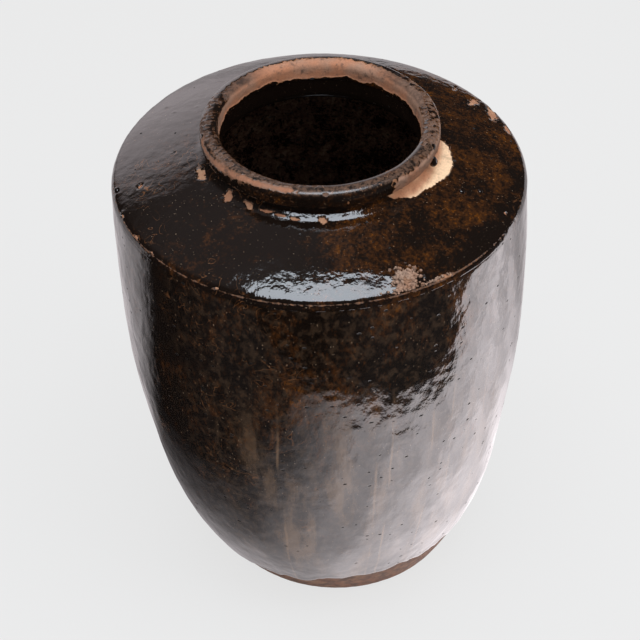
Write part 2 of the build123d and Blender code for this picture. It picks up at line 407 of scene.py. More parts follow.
def turn_clay(shape, name, section, columns, loop, material, node, roughen):
    """A plain clay piece, turned from its section, with a slightly uneven face."""
    turn = columns_round(columns)
    radius, height = (section[:, axis][:, None] + 0 * turn for axis in (0, 1))
    turn = turn + 0 * radius
    if roughen:
        places = true_to_hand(shape, turn, radius, height)
        outer = radius > shape.mouth_radius * 0.9
        radius = radius + roughen * clouds(places, (160, 160, 160), 4, 3.7) * outer
    points = true_to_hand(shape, turn, radius, height)
    paints = clay_paints(shape, turn, radius, height)
    faces = ring_quads(*radius.shape, loop)
    return make_piece(name, points, faces, paints, material, node)


def clay_sections(shape, profile):
    """Closed half sections of the clay pieces, by the node that each stands for."""
    outside, hollow = profile.outside, profile.hollow
    fine, coarse = 1.2 * MM, 9 * MM
    smear_width, smear_lift = 8 * MM, 0.06 * MM
    base, wall = shape.base_thickness, shape.wall_thickness
    base_edge = outside.nearest(shape.foot_radius + shape.foot_bevel, base)
    inner_foot = outside.place(base_edge)[0] - wall
    inner_base = hollow.nearest(inner_foot, base + shape.floor_round)
    floor_start = hollow.nearest(inner_foot - shape.floor_round, base)

    def seat(radius, height):
        """Where a bevelled seat meets the outside and the hollow."""
        return outside.nearest(radius, height), hollow.nearest(radius - wall, height + shape.seat_fall)

    wall_seat = seat(shape.belly_radius, WALL_SEAT_SHARE * shape.arris_height)
    shoulder_seat = seat(profile.arris[0], shape.arris_height - shape.shoulder_seat_drop)
    collar_radius = profile.neck_radius + shape.cove_width + shape.collar_gap
    top = shape.arris_height + shape.shoulder_rise
    collar_foot = outside.nearest(collar_radius, top)
    smear_edge = outside.nearest(collar_radius + smear_width, top)
    under = hollow.nearest(collar_radius, profile.root[1] - shape.shoulder_thickness)
    neck_top = outside.nearest(profile.neck_radius, profile.lip_seat)
    ring_edge = (shape.foot_radius - shape.foot_ring, 0)
    smear = outside.span(smear_edge, collar_foot, fine) + np.array((0, smear_lift))
    return {
        "base_slab": np.concatenate((
            bulged((0, shape.dish_depth), ring_edge, 0.3 * MM, coarse),
            outside.span(0, base_edge, fine),
            [(0.0, base)],
        )),
        "lower_wall": np.concatenate((
            outside.span(base_edge, wall_seat[0], coarse),
            hollow.span(wall_seat[1], inner_base, coarse),
            hollow.span(inner_base, floor_start, fine),
        )),
        "upper_wall": np.concatenate((
            outside.span(wall_seat[0], shoulder_seat[0], coarse),
            hollow.span(shoulder_seat[1], wall_seat[1], coarse),
        )),
        "shoulder": np.concatenate((
            outside.span(shoulder_seat[0], collar_foot, fine),
            hollow.span(under, shoulder_seat[1], coarse / 2),
        )),
        "neck_collar": np.concatenate((
            smear,
            outside.span(collar_foot, neck_top, fine),
            hollow.span(hollow.length, under, coarse / 2),
        )),
    }


def build_clay(shape, material):
    """The potter's sections of bare clay, luted one on the next."""
    for node, section in clay_sections(shape, Profile(shape)).items():
        covered = node in ("lower_wall", "upper_wall")
        columns, roughen = (240, 0.0) if covered else (560, 0.18 * MM)
        loop = node != "base_slab"
        turn_clay(shape, node + "_clay", section, columns, loop, material, node, roughen)


# Coats of glaze

# Relief of the beaten wall, by scale per metre, depth and seed: dents, beaten facets and ripples
RELIEF = (
    ((17, 17, 15), 0.34 * MM, 5.1),
    ((46, 46, 36), 0.21 * MM, 11.3),
    ((95, 95, 75), 0.19 * MM, 2.9),
)

# Sides of the wall by centre, half width and softness in degrees: where its glaze stops high above
# the foot, and where it is amber, marked with curls, run down or dappled with painted reflection
HIGH_FOOT_SIDE = (-106, 72, 34)
HIGHEST_FOOT_SIDE = (-62, 20, 30)
LEFT_AMBER_SIDE = (-110, 12, 20)
HIGH_AMBER_SIDE = (-70, 26, 18)
WALL_CURL_SIDE = (-122, 30, 26)
RUN_SIDE = (-74, 28, 26)
REFLECTION_DAPPLE_SIDE = (-58, 60, 26)
# The wall's glaze runs down no further than this height
LOWEST_GLAZE = 5 * MM

# Sides of the shoulder in the same way: where its arris is rusty, faintly rusty or dark, and where
# its glaze is amber or marked with curls
RUST_SIDE = (-115, 55, 40)
FAINT_RUST_SIDE = (-25, 32, 20)
DARK_SIDE = (-38, 22, 14)
AMBER_SIDE = (-12, 52, 45)
CURL_SIDE = (-150, 28, 16)
# How far the thin glaze of the arris reaches to each side of it
ARRIS_REACH = 2.6 * MM

# Chips where the glaze has flaked off the shoulder: angle in degrees, radius, half length and
# half width in millimetres, and slant in degrees
CHIPS = (
    (-160.0, 88.8, 7.0, 3.2, 10), (-137.6, 85.6, 4.6, 3.4, 60), (-125.4, 83.6, 3.6, 2.4, 20),
    (-115.4, 83.4, 4.6, 1.1, -6), (-108.6, 84.2, 4.2, 1.0, -2), (-101.6, 85.4, 3.4, 1.2, 8),
    (-89.0, 85.8, 2.9, 2.2, 50), (31.5, 138.0, 8.5, 3.0, 62), (24.5, 144.2, 12.5, 3.6, 24),
    (17.0, 147.8, 7.0, 2.2, 14), (40.6, 138.0, 4.5, 1.0, 55), (-166.8, 130.0, 2.6, 1.6, 30),
    (-149.0, 149.0, 3.4, 1.0, 0), (-159.0, 149.3, 2.4, 0.8, 0), (-141.0, 149.3, 2.6, 0.7, 0),
    (-118.0, 149.5, 1.6, 0.5, 0), (-24.7, 142.6, 1.4, 1.0, 0), (-56.0, 149.0, 5.5, 1.6, 0),
)
# Outer edge of the large bare patch beside the neck: angle in degrees and radius in millimetres
PATCH_EDGE = (
    (-56.0, 79.0), (-53.0, 82.6), (-49.0, 84.4), (-45.0, 87.4), (-40.5, 89.6), (-34.3, 90.2),
    (-28.0, 93.0), (-20.2, 96.4), (-13.4, 96.6), (-7.0, 94.6), (-0.7, 92.7), (2.7, 88.8), (4.5, 80.0),
)
# Blisters that stand out of the glaze: angle in degrees, radius, half width and height in millimetres
BLISTERS = (
    (152.8, 121.0, 2.0, 0.55), (149.5, 133.0, 2.2, 0.6), (148.5, 106.2, 1.6, 0.45),
    (-179.0, 106.0, 1.3, 0.4), (-26.5, 111.2, 2.0, 0.7), (-26.0, 121.8, 2.0, 0.7),
    (-66.1, 115.4, 1.8, 0.5), (-71.1, 107.4, 2.4, 0.4), (-106.6, 102.2, 1.1, 0.4),
    (-168.0, 146.5, 2.6, 0.8), (-160.0, 147.0, 2.2, 0.7), (-56.4, 110.1, 2.4, 0.3),
)


def hand_marks(places, strength=1.0):
    """The gentle dents and ripples of a beaten and glazed wall, as a lift in metres."""
    return strength * sum(clouds(places, scale, 2, seed) * depth for scale, depth, seed in RELIEF)


def foot_edge(shape, turn):
    """Height of the lower edge of the wall's glaze, which stops in uneven lobes above the foot."""
    wander = 4 * MM * ring_clouds(turn, (2.2, 2.2, 1), 3, 8.2)
    lobes = 7 * MM * ring_clouds(turn, (8, 8, 1), 2, 21.7)
    sweep = 1.3 * hump(turn, *HIGH_FOOT_SIDE) + 1.1 * hump(turn, *HIGHEST_FOOT_SIDE)
    edge = shape.bare_foot * (0.7 + sweep) + wander + lobes
    return np.clip(edge, LOWEST_GLAZE, 3.8 * shape.bare_foot)


def wall_paints(shape, turn, height, from_edge):
    """Paints of the wall's coat: thin at its edge, with runs and amber in front and curls at the left."""
    low_fall = 1 - smooth(0.05, 0.2, height)
    amber = 0.15 * hump(turn, *LEFT_AMBER_SIDE) * smooth(0.06, 0.2, height) - 0.4 * low_fall
    return {
        "thin": 1 - smooth(0, 5 * MM, from_edge),
        "rust": 0.25 * smooth(shape.lap_height - 5 * MM, shape.lap_height, height),
        "amber": amber + 0.5 * hump(turn, *HIGH_AMBER_SIDE) * smooth(0.22, 0.28, height),
        "scribble": hump(turn, *WALL_CURL_SIDE) * smooth(0.08, 0.2, height),
        "runs": hump(turn, *RUN_SIDE) * (1 - smooth(0.20, 0.29, height)),
        # Painted reflection: pale dapples on the front of the wall, where it mirrors the floor
        "reflection_dapple": hump(turn, *REFLECTION_DAPPLE_SIDE),
    }


def build_wall_coat(shape, material):
    """The coat of glaze on the wall, from the lobes above the foot to its lap under the arris."""
    outside = Profile(shape).outside
    row_step, lap, edge_width, roll_height = 2 * MM, 2.2 * MM, 1.8 * MM, 0.25 * MM
    buried, back_gap, back_inset, back_rows = 0.3 * MM, 0.5 * MM, 0.5 * MM, 26
    turn = columns_round(456)
    low, top = foot_edge(shape, turn), shape.lap_height + lap
    edge_rows = np.array((0, 0.35, 0.8, 1.5, 2.6)) * MM
    count = math.ceil((top - shape.bare_foot - edge_rows[-1]) / row_step)
    rise = np.linspace(0, 1, count + 1)[1:, None]
    high = low + edge_rows[-1]
    height = np.concatenate((low + edge_rows[:, None], high + rise * (top - high)))
    wall = np.argmax(outside.points[:, 1] > top) + 1

    def along_wall(level):
        """The length along the outside at a height on the wall."""
        return np.interp(level, outside.points[:wall, 1], outside.along[:wall])

    turn = turn + 0 * height
    spot = outside.place(along_wall(height))
    out = outside.outward(along_wall(height), 2 * MM)
    from_edge = height - low
    edge = smooth(0, edge_width, from_edge)
    roll = roll_height * between((0, 2.2 * MM), (3 * MM, 9 * MM), from_edge)
    tuck = smooth(shape.lap_height - 0.6 * MM, top, height)
    coat = shape.coat * edge * (1 - tuck) - 0.25 * MM * (1 - edge) - buried * tuck
    places = true_to_hand(shape, turn, spot[..., 0], spot[..., 1])
    lift = coat + roll + hand_marks(places) * edge * (1 - tuck)
    back_share = np.linspace(top - back_gap, 0, back_rows)[:, None] / top
    back_height = low + buried + (top - low - back_gap - buried) * back_share
    back = outside.place(along_wall(back_height))
    back_form = (back[..., 0] - back_inset, back[..., 1])
    points, faces = closed_form(shape, turn, lifted(spot, out, lift), back_form)
    paints = painted_front(wall_paints(shape, turn, height, from_edge), back_height)
    return make_piece("wall_coat", points, faces, paints, material, "wall_glaze")


def flaked(profile, turn, along, radius, places):
    """How far the glaze is gone, from under 0 where it is whole to over 1 inside a chip."""
    ragged = clouds(places, (260, 260, 260), 3, 6.4)
    gone = np.full(turn.shape, -1.0)
    for angle, chip_radius, half_length, half_width, slant in CHIPS:
        reach = chip_radius * MM
        round_way = wrapped(turn - math.radians(angle)) * reach
        out_way = profile.along_shoulder(reach) - along
        lean_in, lean_out = math.cos(math.radians(slant)), math.sin(math.radians(slant))
        length = (round_way * lean_in + out_way * lean_out) / (half_length * MM)
        width = (out_way * lean_in - round_way * lean_out) / (half_width * MM)
        gone = np.maximum(gone, (1 - np.hypot(length, width) + 0.55 * ragged) * 2.2)
    angles, radii = np.array(PATCH_EDGE).T
    edge = np.interp(wrapped(turn), np.radians(angles), radii * MM, left=0, right=0)
    patch = (edge + 0.9 * MM * ragged - radius) / (1.2 * MM)
    on_top = along > profile.outside.nearest(*profile.arris)
    return np.where(on_top, np.maximum(gone, np.clip(patch, -1, 3)), gone)


def shoulder_rows(start, arris, neck, end):
    """Lengths along the outside for the rows of the coat, closest at the arris and the neck."""
    stops = (start, arris - 3 * MM, arris + 4 * MM, neck - 7 * MM, end)
    counts = (5, 12, 50, 22)
    rows = [np.linspace(*stretch, count)[:-1] for *stretch, count in zip(stops, stops[1:], counts)]
    return np.concatenate((*rows, [end]))[:, None]


def blistered(turn, radius):
    """The lift of the blisters on the shoulder."""
    lift = 0
    for angle, blister_radius, half_width, height in BLISTERS:
        round_way = wrapped(turn - math.radians(angle)) * blister_radius * MM
        away = np.hypot(round_way, radius - blister_radius * MM)
        lift = lift + height * MM * ridge(away, 0.55 * half_width * MM)
    return lift


def shoulder_paints(turn, along, arris, gone, lost):
    """Paints of the shoulder's coat: rust on the arris and round the chips, amber at the right."""
    arris_rust = 0.12 + 0.46 * hump(turn, *RUST_SIDE) + 0.24 * hump(turn, *FAINT_RUST_SIDE)
    chip_rust = 0.7 * smooth(-0.7, -0.1, gone) * (1 - lost)
    dark_edge = ridge(along - arris - 7 * MM, 6 * MM) * hump(turn, *DARK_SIDE)
    amber = hump(turn, *AMBER_SIDE) * (1 - 0.5 * ridge(along - arris, ARRIS_REACH))
    return {
        "rust": ridge(along - arris, 0.8 * MM) * arris_rust + chip_rust,
        "amber": amber - 1.3 * dark_edge,
        "scribble": hump(turn, *CURL_SIDE),
    }


def build_shoulder_coat(shape, material):
    """The coat on the arris, the shoulder and the neck, flaked away in chips and a large patch."""
    profile = Profile(shape)
    outside = profile.outside
    chip_depth, buried, back_inset, back_rows = 0.7 * MM, 0.5 * MM, 1.1 * MM, 44
    start = outside.nearest(profile.arris[0], shape.lap_height - 0.3 * MM)
    arris, neck = outside.nearest(*profile.arris), outside.nearest(*profile.root)
    end = outside.nearest(profile.neck_radius, profile.lip_seat) + 1.5 * MM
    turn = columns_round(768)
    along = shoulder_rows(start, arris, neck, end)
    lap_sway = 1.3 * MM * ring_clouds(turn, (6, 6, 1), 3, 14.2)
    along = along + lap_sway * (1 - smooth(start, arris - 2 * MM, along))
    turn = turn + 0 * along
    spot, out = outside.place(along), outside.outward(along)
    places = true_to_hand(shape, turn, spot[..., 0], spot[..., 1])
    gone = flaked(profile, turn, along, spot[..., 0], places)
    lost = smooth(-0.12, 0.22, gone)
    on_arris = ridge(along - arris, ARRIS_REACH)
    lap = 1 - smooth(start, start + 1 * MM, along)
    under_lip = smooth(end - 2.2 * MM, end, along)
    marks = hand_marks(places, 0.58 - 0.38 * smooth(neck - 14 * MM, neck, along))
    marks = marks + 0.12 * MM * clouds(places, (330, 330, 330), 2, 1.7) * on_arris
    marks = marks + blistered(turn, spot[..., 0]) * (along > arris - 4 * MM)
    lap_roll = 0.35 * MM * between((0, 1.2 * MM), (1.5 * MM, 4 * MM), along - start)
    whole = (shape.coat * (1 - 0.45 * on_arris) + marks + lap_roll) * (1 - lap) * (1 - under_lip)
    lift = whole * (1 - lost) - chip_depth * lost - buried * np.maximum(lap, under_lip)
    back_along = np.linspace(end - 0.3 * MM, start + 0.4 * MM, back_rows)[:, None] + 0 * turn[:1]
    back = lifted(outside.place(back_along), outside.outward(back_along), -back_inset)
    points, faces = closed_form(shape, turn, lifted(spot, out, lift), back)
    paints = painted_front(shoulder_paints(turn, along, arris, gone, lost), back_along)
    return make_piece("shoulder_coat", points, faces, paints, material, "shoulder_glaze")


def build_inner_coat(shape, material):
    """The coat inside, from the floor over the throwing rings to the foot of the lip."""
    hollow = Profile(shape).hollow
    ring_height, ring_pitch, throat, top_gap = 0.45 * MM, 26 * MM, 24 * MM, 0.2 * MM
    back_inset, reach = 0.1 * MM, 3 * MM
    along = np.concatenate((
        np.linspace(0, hollow.length - throat, 120)[:-1],
        np.linspace(hollow.length - throat, hollow.length - top_gap, 16),
    ))[:, None]
    turn = columns_round(220) + 0 * along
    along = along + 0 * turn
    spot, out = hollow.place(along), hollow.outward(along, reach)
    on_wall = between((0.03, 0.08), (0.30, 0.34), spot[..., 1])
    rings = ring_height * np.sin(TURN * spot[..., 1] / ring_pitch) * on_wall
    places = true_to_hand(shape, turn, spot[..., 0], spot[..., 1])
    uneven = rings + 0.35 * MM * clouds(places, (60, 60, 60), 3, 4.4)
    lift = shape.inside_coat + uneven * smooth(4 * MM, 20 * MM, spot[..., 0])
    front = lifted(spot, out, -lift)
    back_along = np.linspace(hollow.length - 0.3 * MM, 0, 60)[:, None] + 0 * turn[:1]
    back = lifted(hollow.place(back_along), hollow.outward(back_along, reach), -back_inset)
    # Both faces start on the axis
    front[0][0] = back[0][-1] = 0
    points, faces = closed_form(shape, turn, front, back, loop=False)
    # Painted shade: the coat is darkened at the throat, under the lip, by a strongly negative amber paint
    paints = {"amber": -2.6 * smooth(0.335, 0.360, points[..., 2])}
    return make_piece("inner_coat", points, faces, paints, material, "inner_glaze")


# Lip

# Sides of the lip by centre, half width and softness in degrees: the worn band and where it
# climbs, the worn edge and the chip in front, the bare foot, the flushed clay, the soot and the
# rubbed crest
BAND_SIDE = (-136, 29, 8)
BAND_FLUSH_SIDE = (-136, 32, 8)
BAND_CLIMB_SIDE = (-168, 8, 50)
WORN_EDGE_SIDE = (-128, 30, 14)
LIP_CHIP_SIDE = (-87.9, 0.5, 1.0)
RIGHT_FOOT_SIDE = (-20, 30, 8)
RIGHT_FLUSH_SIDE = (-22, 45, 12)
BACK_FLUSH_SIDE = (100, 60, 40)
BACK_INSIDE_SIDE = (90, 70, 40)
LEFT_SOOT_SIDE = (-158, 62, 26)
RIGHT_SOOT_SIDE = (2, 42, 20)
RUBBED_SIDE = (-85, 62, 25)
# Broad worn stretches: side, the shares of the way over the lip between which the wear comes in
# and goes out again, and how bare it gets
WORN_STRETCHES = (
    ((84, 62, 22), (0.48, 0.60), (0.79, 0.80), 0.85),
    ((-172, 26, 16), (0.20, 0.36), (0.62, 0.70), 0.34),
    (RIGHT_FOOT_SIDE, None, (0.34, 0.46), 0.80),
    ((8, 26, 14), (0.26, 0.40), (0.70, 0.80), 0.42),
)


def band_line(turn):
    """Where on the lip the worn orange band runs, which climbs from the left to the front."""
    return 0.46 - 0.12 * hump(turn, *BAND_CLIMB_SIDE)


def lip_wear(turn, share, places):
    """How bare the lip is, by angle and by share of the way over it from the outside in."""
    creep = share + 0.07 * clouds(places, (70, 70, 70), 4, 1.3)
    inside = smooth(0.66, 0.76, share) * (1 - smooth(0.90, 0.95, creep))
    worn = [
        hump(turn, *side) * between(rise, fall, share) * most
        for side, rise, fall, most in WORN_STRETCHES
    ]
    worn += [
        hump(turn, *WORN_EDGE_SIDE) * ridge(share - 0.62, 0.05) * 0.5,
        hump(turn, *BAND_SIDE) * ridge(share - band_line(turn), 0.06) * 0.85,
        hump(turn, *LIP_CHIP_SIDE) * ridge(share - 0.42, 0.025),
    ]
    bare = np.maximum.reduce([inside, *worn])
    return bare + 0.5 * clouds(places, (330, 330, 330), 4, 7.7) * (1 - inside)


def lip_paints(turn, share, places, bare):
    """Paints of the lip: how bare, flushed and sooty it is, and where its crest is rubbed."""
    band = hump(turn, *BAND_FLUSH_SIDE) * ridge(share - band_line(turn), 0.08)
    blush = 0.4 * hump(turn, *BACK_FLUSH_SIDE) + band + 0.9 * clouds(places, (45, 45, 45), 3, 2.2)
    blush = blush + hump(turn, *RIGHT_FLUSH_SIDE) * (1 - smooth(0.2, 0.4, share))
    blush = blush + 0.6 * hump(turn, *BACK_INSIDE_SIDE) * smooth(0.76, 0.9, share)
    sooty_sides = np.maximum.reduce([
        hump(turn, *LEFT_SOOT_SIDE),
        0.8 * hump(turn, *RIGHT_SOOT_SIDE) * smooth(0.34, 0.44, share),
        0.55 * hump(turn, *RIGHT_FOOT_SIDE) * (1 - smooth(0.30, 0.40, share)),
    ])
    return {
        "bare": bare,
        "soot": sooty_sides * (1 - smooth(0.66, 0.74, share)) * (1 - 0.65 * band),
        "crest": hump(turn, *RUBBED_SIDE) * between((0.38, 0.42), (0.54, 0.62), share),
        "blush": blush,
    }


def build_lip(shape, material):
    """The rolled lip, glazed outside and over the front, and worn to the clay elsewhere."""
    profile = Profile(shape)
    outside = profile.outside
    start, end = outside.nearest(profile.neck_radius, profile.lip_seat), outside.length
    along = np.linspace(start, end, 58)[:, None]
    turn = columns_round(720) + 0 * along
    along = along + 0 * turn
    share = (along - start) / (end - start)
    spot, out = outside.place(along), outside.outward(along)
    places = true_to_hand(shape, turn, spot[..., 0], spot[..., 1])
    bare = lip_wear(turn, share, places)
    glazed = 1 - smooth(0.42, 0.58, bare)
    dents = 0.45 * MM * clouds(places, (28, 28, 60), 2, 9.1) + 0.4 * hand_marks(places)
    grain = 0.16 * MM * clouds(places, (420, 420, 420), 3, 3.3) * (1 - glazed)
    lift = (0.55 * MM * glazed + dents + grain) * between((0, 0.05), (0.96, 1.0), share)
    seat = np.linspace(shape.mouth_radius, profile.neck_radius, 5)[1:-1, None] + 0 * turn[:1]
    seat_form = (seat, profile.lip_seat + 0 * seat)
    points, faces = closed_form(shape, turn, lifted(spot, out, lift), seat_form)
    paints = painted_front(lip_paints(turn, share, places, bare), seat)
    # The seat under the lip is bare
    paints["bare"][len(along):] = 1
    return make_piece("lip", points, faces, paints, material, "rim_lip")


# Loose forms fired on to the jar

# Heaps of kiln grit: count of grains, mean and spread of their angles in degrees and of their
# radii in millimetres, and the range of their sizes in millimetres
HEAPS = (
    (280, (-66.4, 1.8), (141.0, 3.5), (0.45, 1.7)),
    (70, (-60.0, 2.4), (148.4, 0.6), (0.4, 0.9)),
    (50, (-69.0, 1.7), (147.0, 1.3), (0.5, 1.2)),
)
# The lump that they pile up to: angle in degrees, radius, half spans and height in millimetres
LUMP_ANGLE, LUMP_RADIUS, LUMP_SPANS, LUMP_HEIGHT = -66.4, 141.5, (5.5, 8.5), 2.4
# Grains stay inside this radius in millimetres
GRIT_REACH = 149.6
# Beads of glaze on the shoulder: angle in degrees, radius and half sizes in millimetres
SHOULDER_BEADS = (
    (-26.5, 110.0, (1.9, 2.3, 1.2)),
    (-22.0, 120.4, (1.6, 1.8, 1.0)),
    (-170.0, 147.0, (3.0, 2.2, 1.8)),
)
# The tear under the edge of the lip and the blob on the lip: angle in degrees and half sizes in
# millimetres, and how much the tear narrows towards its top
TEAR_ANGLE, TEAR_SIZES, TEAR_TAPER = -23.2, (3.3, 2.6, 3.9), 0.32
BLOB_ANGLE, BLOB_SIZES = -21.0, (4.4, 2.9, 3.0)


def ball(detail):
    """Places and faces of a unit ball."""
    form = bmesh.new()
    bmesh.ops.create_icosphere(form, subdivisions=detail, radius=1)
    points = np.array([tuple(v.co) for v in form.verts])
    faces = np.array([[v.index for v in face.verts] for face in form.faces])
    form.free()
    return points, faces


def joined(forms, faces):
    """Places and faces of many balls as one mesh."""
    count = len(forms[0])
    return np.concatenate(forms), np.concatenate([faces + count * number for number in range(len(forms))])


def seated(shape, profile, angle, radius):
    """A place on the glazed shoulder, with the ways round, down the slope and out of it as rows."""
    along = np.array(profile.along_shoulder(radius))
    spot, out = profile.outside.place(along), profile.outside.outward(along)
    turn = math.radians(angle)
    place = true_to_hand(shape, np.array(turn), *(spot + out * shape.coat))
    around = np.array((-math.sin(turn), math.cos(turn), 0))
    outward = np.array((out[0] * math.cos(turn), out[0] * math.sin(turn), out[1]))
    return place, np.stack((around, np.cross(around, outward), outward))


def build_grit(shape, material):
    """A lump of kiln grit, many angular grains fused on the edge of the shoulder."""
    profile = Profile(shape)
    chance = np.random.default_rng(11)
    unit, unit_faces = ball(2)
    grains = [
        (chance.normal(*angles), chance.normal(*radii), chance.uniform(*sizes))
        for count, angles, radii, sizes in HEAPS
        for _ in range(count)
    ]
    forms, painted_shades = [], []
    for angle, radius, size in grains:
        away = math.hypot((angle - LUMP_ANGLE) / LUMP_SPANS[0], (radius - LUMP_RADIUS) / LUMP_SPANS[1])
        heap = LUMP_HEIGHT * max(0.0, 1 - away)
        pile = heap * chance.uniform(0.3, 1.0)
        place, axes = seated(shape, profile, angle, min(radius, GRIT_REACH) * MM)
        grain = unit * (chance.uniform(0.65, 1.35, 3) * size * MM)
        grain = grain * (1 + 0.42 * clouds(unit, (1.3, 1.3, 1.3), 2, chance.uniform(0, 90)))[:, None]
        spin = Matrix.Rotation(chance.uniform(0, TURN), 3, chance.normal(size=3).tolist())
        grain = np.clip(grain @ np.array(spin).T, -1.1 * size * MM, 1.1 * size * MM)
        lift = (pile - 0.25 * size) * MM
        forms.append(grain @ axes + (place + axes[2] * lift))
        # Painted shade: each grain darkens towards its lower part, where it sinks into the heap
        painted_shades.append(1 - smooth(0.0, 0.95, (grain[:, 2] + lift) / ((heap + 0.8 * size) * MM)))
    points, faces = joined(forms, unit_faces)
    paints = {"depth": np.concatenate(painted_shades)}
    return make_piece("grit_lump", points, faces, paints, material, "kiln_grit", sharp=28)


def build_beads(shape, material):
    """Beads of run glaze: three on the shoulder, a tear under the lip's edge and a blob on the lip."""
    profile = Profile(shape)
    unit, unit_faces = ball(4)
    forms = []
    for angle, radius, sizes in SHOULDER_BEADS:
        place, axes = seated(shape, profile, angle, radius * MM)
        forms.append(unit * np.array(sizes) * MM @ axes + place)

    def add_upright(form, angle, out, height):
        """Add a form that stands upright, this far out of the neck."""
        turn = math.radians(angle)
        around, outward = (-math.sin(turn), math.cos(turn), 0), (math.cos(turn), math.sin(turn), 0)
        place = true_to_hand(shape, np.array(turn), profile.neck_radius + out, height)
        forms.append(form @ np.array((around, outward, (0, 0, 1.0))) + place)

    tear = unit * np.array(TEAR_SIZES) * MM
    tear[:, :2] *= 1 - TEAR_TAPER * unit[:, 2:]
    add_upright(tear, TEAR_ANGLE, 6.4 * MM, profile.lip_seat + 2.2 * MM)
    blob = unit * np.array(BLOB_SIZES) * MM
    blob *= (1 + 0.2 * clouds(unit, (1, 1, 1), 2, 4.0))[:, None]
    add_upright(blob, BLOB_ANGLE, 3.2 * MM, profile.crest - 3.2 * MM)
    points, faces = joined(forms, unit_faces)
    return make_piece("run_beads", points, faces, {}, material, "glaze_beads")


# Wiring of finishes


class Wiring:
    """Short ways to add and join the nodes of one tree."""

    def __init__(self, tree):
        self.tree = tree

    def node(self, kind, inputs=None, **settings):
        """A new node with its settings and inputs."""
        made = self.tree.nodes.new(kind)
        for setting, value in settings.items():
            setattr(made, setting, value)
        for socket, value in (inputs or {}).items():
            self.feed(made.inputs[socket], value)
        return made

    def feed(self, socket, value):
        """Link a socket to another, or set its own value."""
        if isinstance(value, bpy.types.NodeSocket):
            self.tree.links.new(value, socket)
        else:
            socket.default_value = value

    def group(self, tree, **inputs):
        """The outputs of a shared group, placed with its own values."""
        return self.node("ShaderNodeGroup", inputs, node_tree=tree).outputs

    def maths(self, operation, *values):
        """The result of one operation on its values."""
        return self.node("ShaderNodeMath", dict(enumerate(values)), operation=operation).outputs[0]

    def times(self, first, second):
        """The product of two values."""
        return self.maths("MULTIPLY", first, second)

    def added(self, value, weight, base):
        """The base and a value times its weight."""
        return self.maths("MULTIPLY_ADD", value, weight, base)

    def swayed(self, base, noise, weight):
        """The base moved both ways by a noise that lies about a half."""
        return self.added(self.maths("SUBTRACT", noise, 0.5), weight, base)

    def blend(self, share, low, high):
        """A value that goes from low to high with a share."""
        return self.node("ShaderNodeMix", {0: share, 2: low, 3: high}, data_type="FLOAT").outputs[0]

    def tint(self, share, low, high):
        """A colour that goes from low to high with a share."""
        return self.node("ShaderNodeMix", {0: share, 6: low, 7: high}, data_type="RGBA").outputs[2]

    def ease(self, value, low, high, start=0.0, end=1.0):
        """A value that eases from start to end while another goes from low to high."""
        inputs = {"Value": value, "From Min": low, "From Max": high, "To Min": start, "To Max": end}
        return self.node("ShaderNodeMapRange", inputs, interpolation_type="SMOOTHSTEP").outputs[0]

    def stretch(self, vector, *scale):
        """A vector scaled on each axis."""
        return self.node("ShaderNodeVectorMath", {0: vector, 1: scale}, operation="MULTIPLY").outputs[0]

    def cloud(self, vector, scale, detail, rough, twist=0.0):
        """Cloudy noise about a half, with a scale in features per metre."""
        inputs = {"Vector": vector, "Scale": scale, "Detail": detail}
        inputs.update({"Roughness": rough, "Distortion": twist})
        return self.node("ShaderNodeTexNoise", inputs).outputs[0]

    def cells(self, vector, scale):
        """The distance and the random colour of the nearest cell."""
        inputs = {"Vector": vector, "Scale": scale, "Randomness": 1.0}
        return self.node("ShaderNodeTexVoronoi", inputs, feature="F1").outputs

    def picks(self, colour):
        """Three values read from the channels of a random colour."""
        return self.node("ShaderNodeSeparateColor", {0: colour}).outputs

    def paint(self, name):
        """A paint of the piece's mesh, which is 0 where the mesh has none of that name."""
        return self.node("ShaderNodeAttribute", attribute_name=name).outputs["Fac"]


def shared_group(name, inputs, outputs, wire):
    """A shader node group with named sockets, built once and then reused."""
    found = bpy.data.node_groups.get(name)
    if found:
        return found
    tree = bpy.data.node_groups.new(name, "ShaderNodeTree")
    for label, kind, value in inputs:
        socket = tree.interface.new_socket(label, in_out="INPUT", socket_type="NodeSocket" + kind)
        if value is not None:
            socket.default_value = value
    for label, kind in outputs:
        tree.interface.new_socket(label, in_out="OUTPUT", socket_type="NodeSocket" + kind)
    enter, leave = tree.nodes.new("NodeGroupInput"), tree.nodes.new("NodeGroupOutput")
    wiring = Wiring(tree)
    results = wire(wiring, enter.outputs)
    for label, result in results.items():
        wiring.feed(leave.inputs[label], result)
    return tree


def mottled_glaze():
    """Clouds of dark and amber glaze with black flecks and pale specks."""

    def wire(w, given):
        place, scale = given["Position"], given["Scale"]

        def finer(share, detail, rough, twist=0.0):
            """Cloudy noise this many times finer than the mottling."""
            return w.cloud(place, w.times(scale, share), detail, rough, twist)

        balance = w.swayed(given["Amber"], w.cloud(place, scale, 3.0, 0.55, 0.4), 1.6)
        balance = w.swayed(balance, finer(4.3, 4.0, 0.6, 0.6), 1.6)
        balance = w.swayed(balance, finer(17.0, 4.0, 0.7), 2.1)
        colour = w.tint(w.ease(balance, 0.12, 0.62), given["Dark"], given["Middle"])
        colour = w.tint(w.ease(balance, 0.55, 1.15), colour, given["Light"])
        fleck = w.ease(finer(9.0, 2.0, 0.5), 0.56, 0.66, 0.0, 0.75)
        colour = w.tint(fleck, colour, given["Dark"])
        speck = w.ease(finer(34.0, 1.0, 0.4), 0.745, 0.79, 0.0, 0.7)
        return {"Colour": w.tint(speck, colour, given["Speck"])}

    return shared_group(
        "Mottled glaze",
        (
            ("Position", "Vector", None), ("Scale", "Float", 20.0), ("Amber", "Float", 0.2),
            ("Dark", "Color", None), ("Middle", "Color", None), ("Light", "Color", None),
            ("Speck", "Color", None),
        ),
        (("Colour", "Color"),),
        wire,
    )


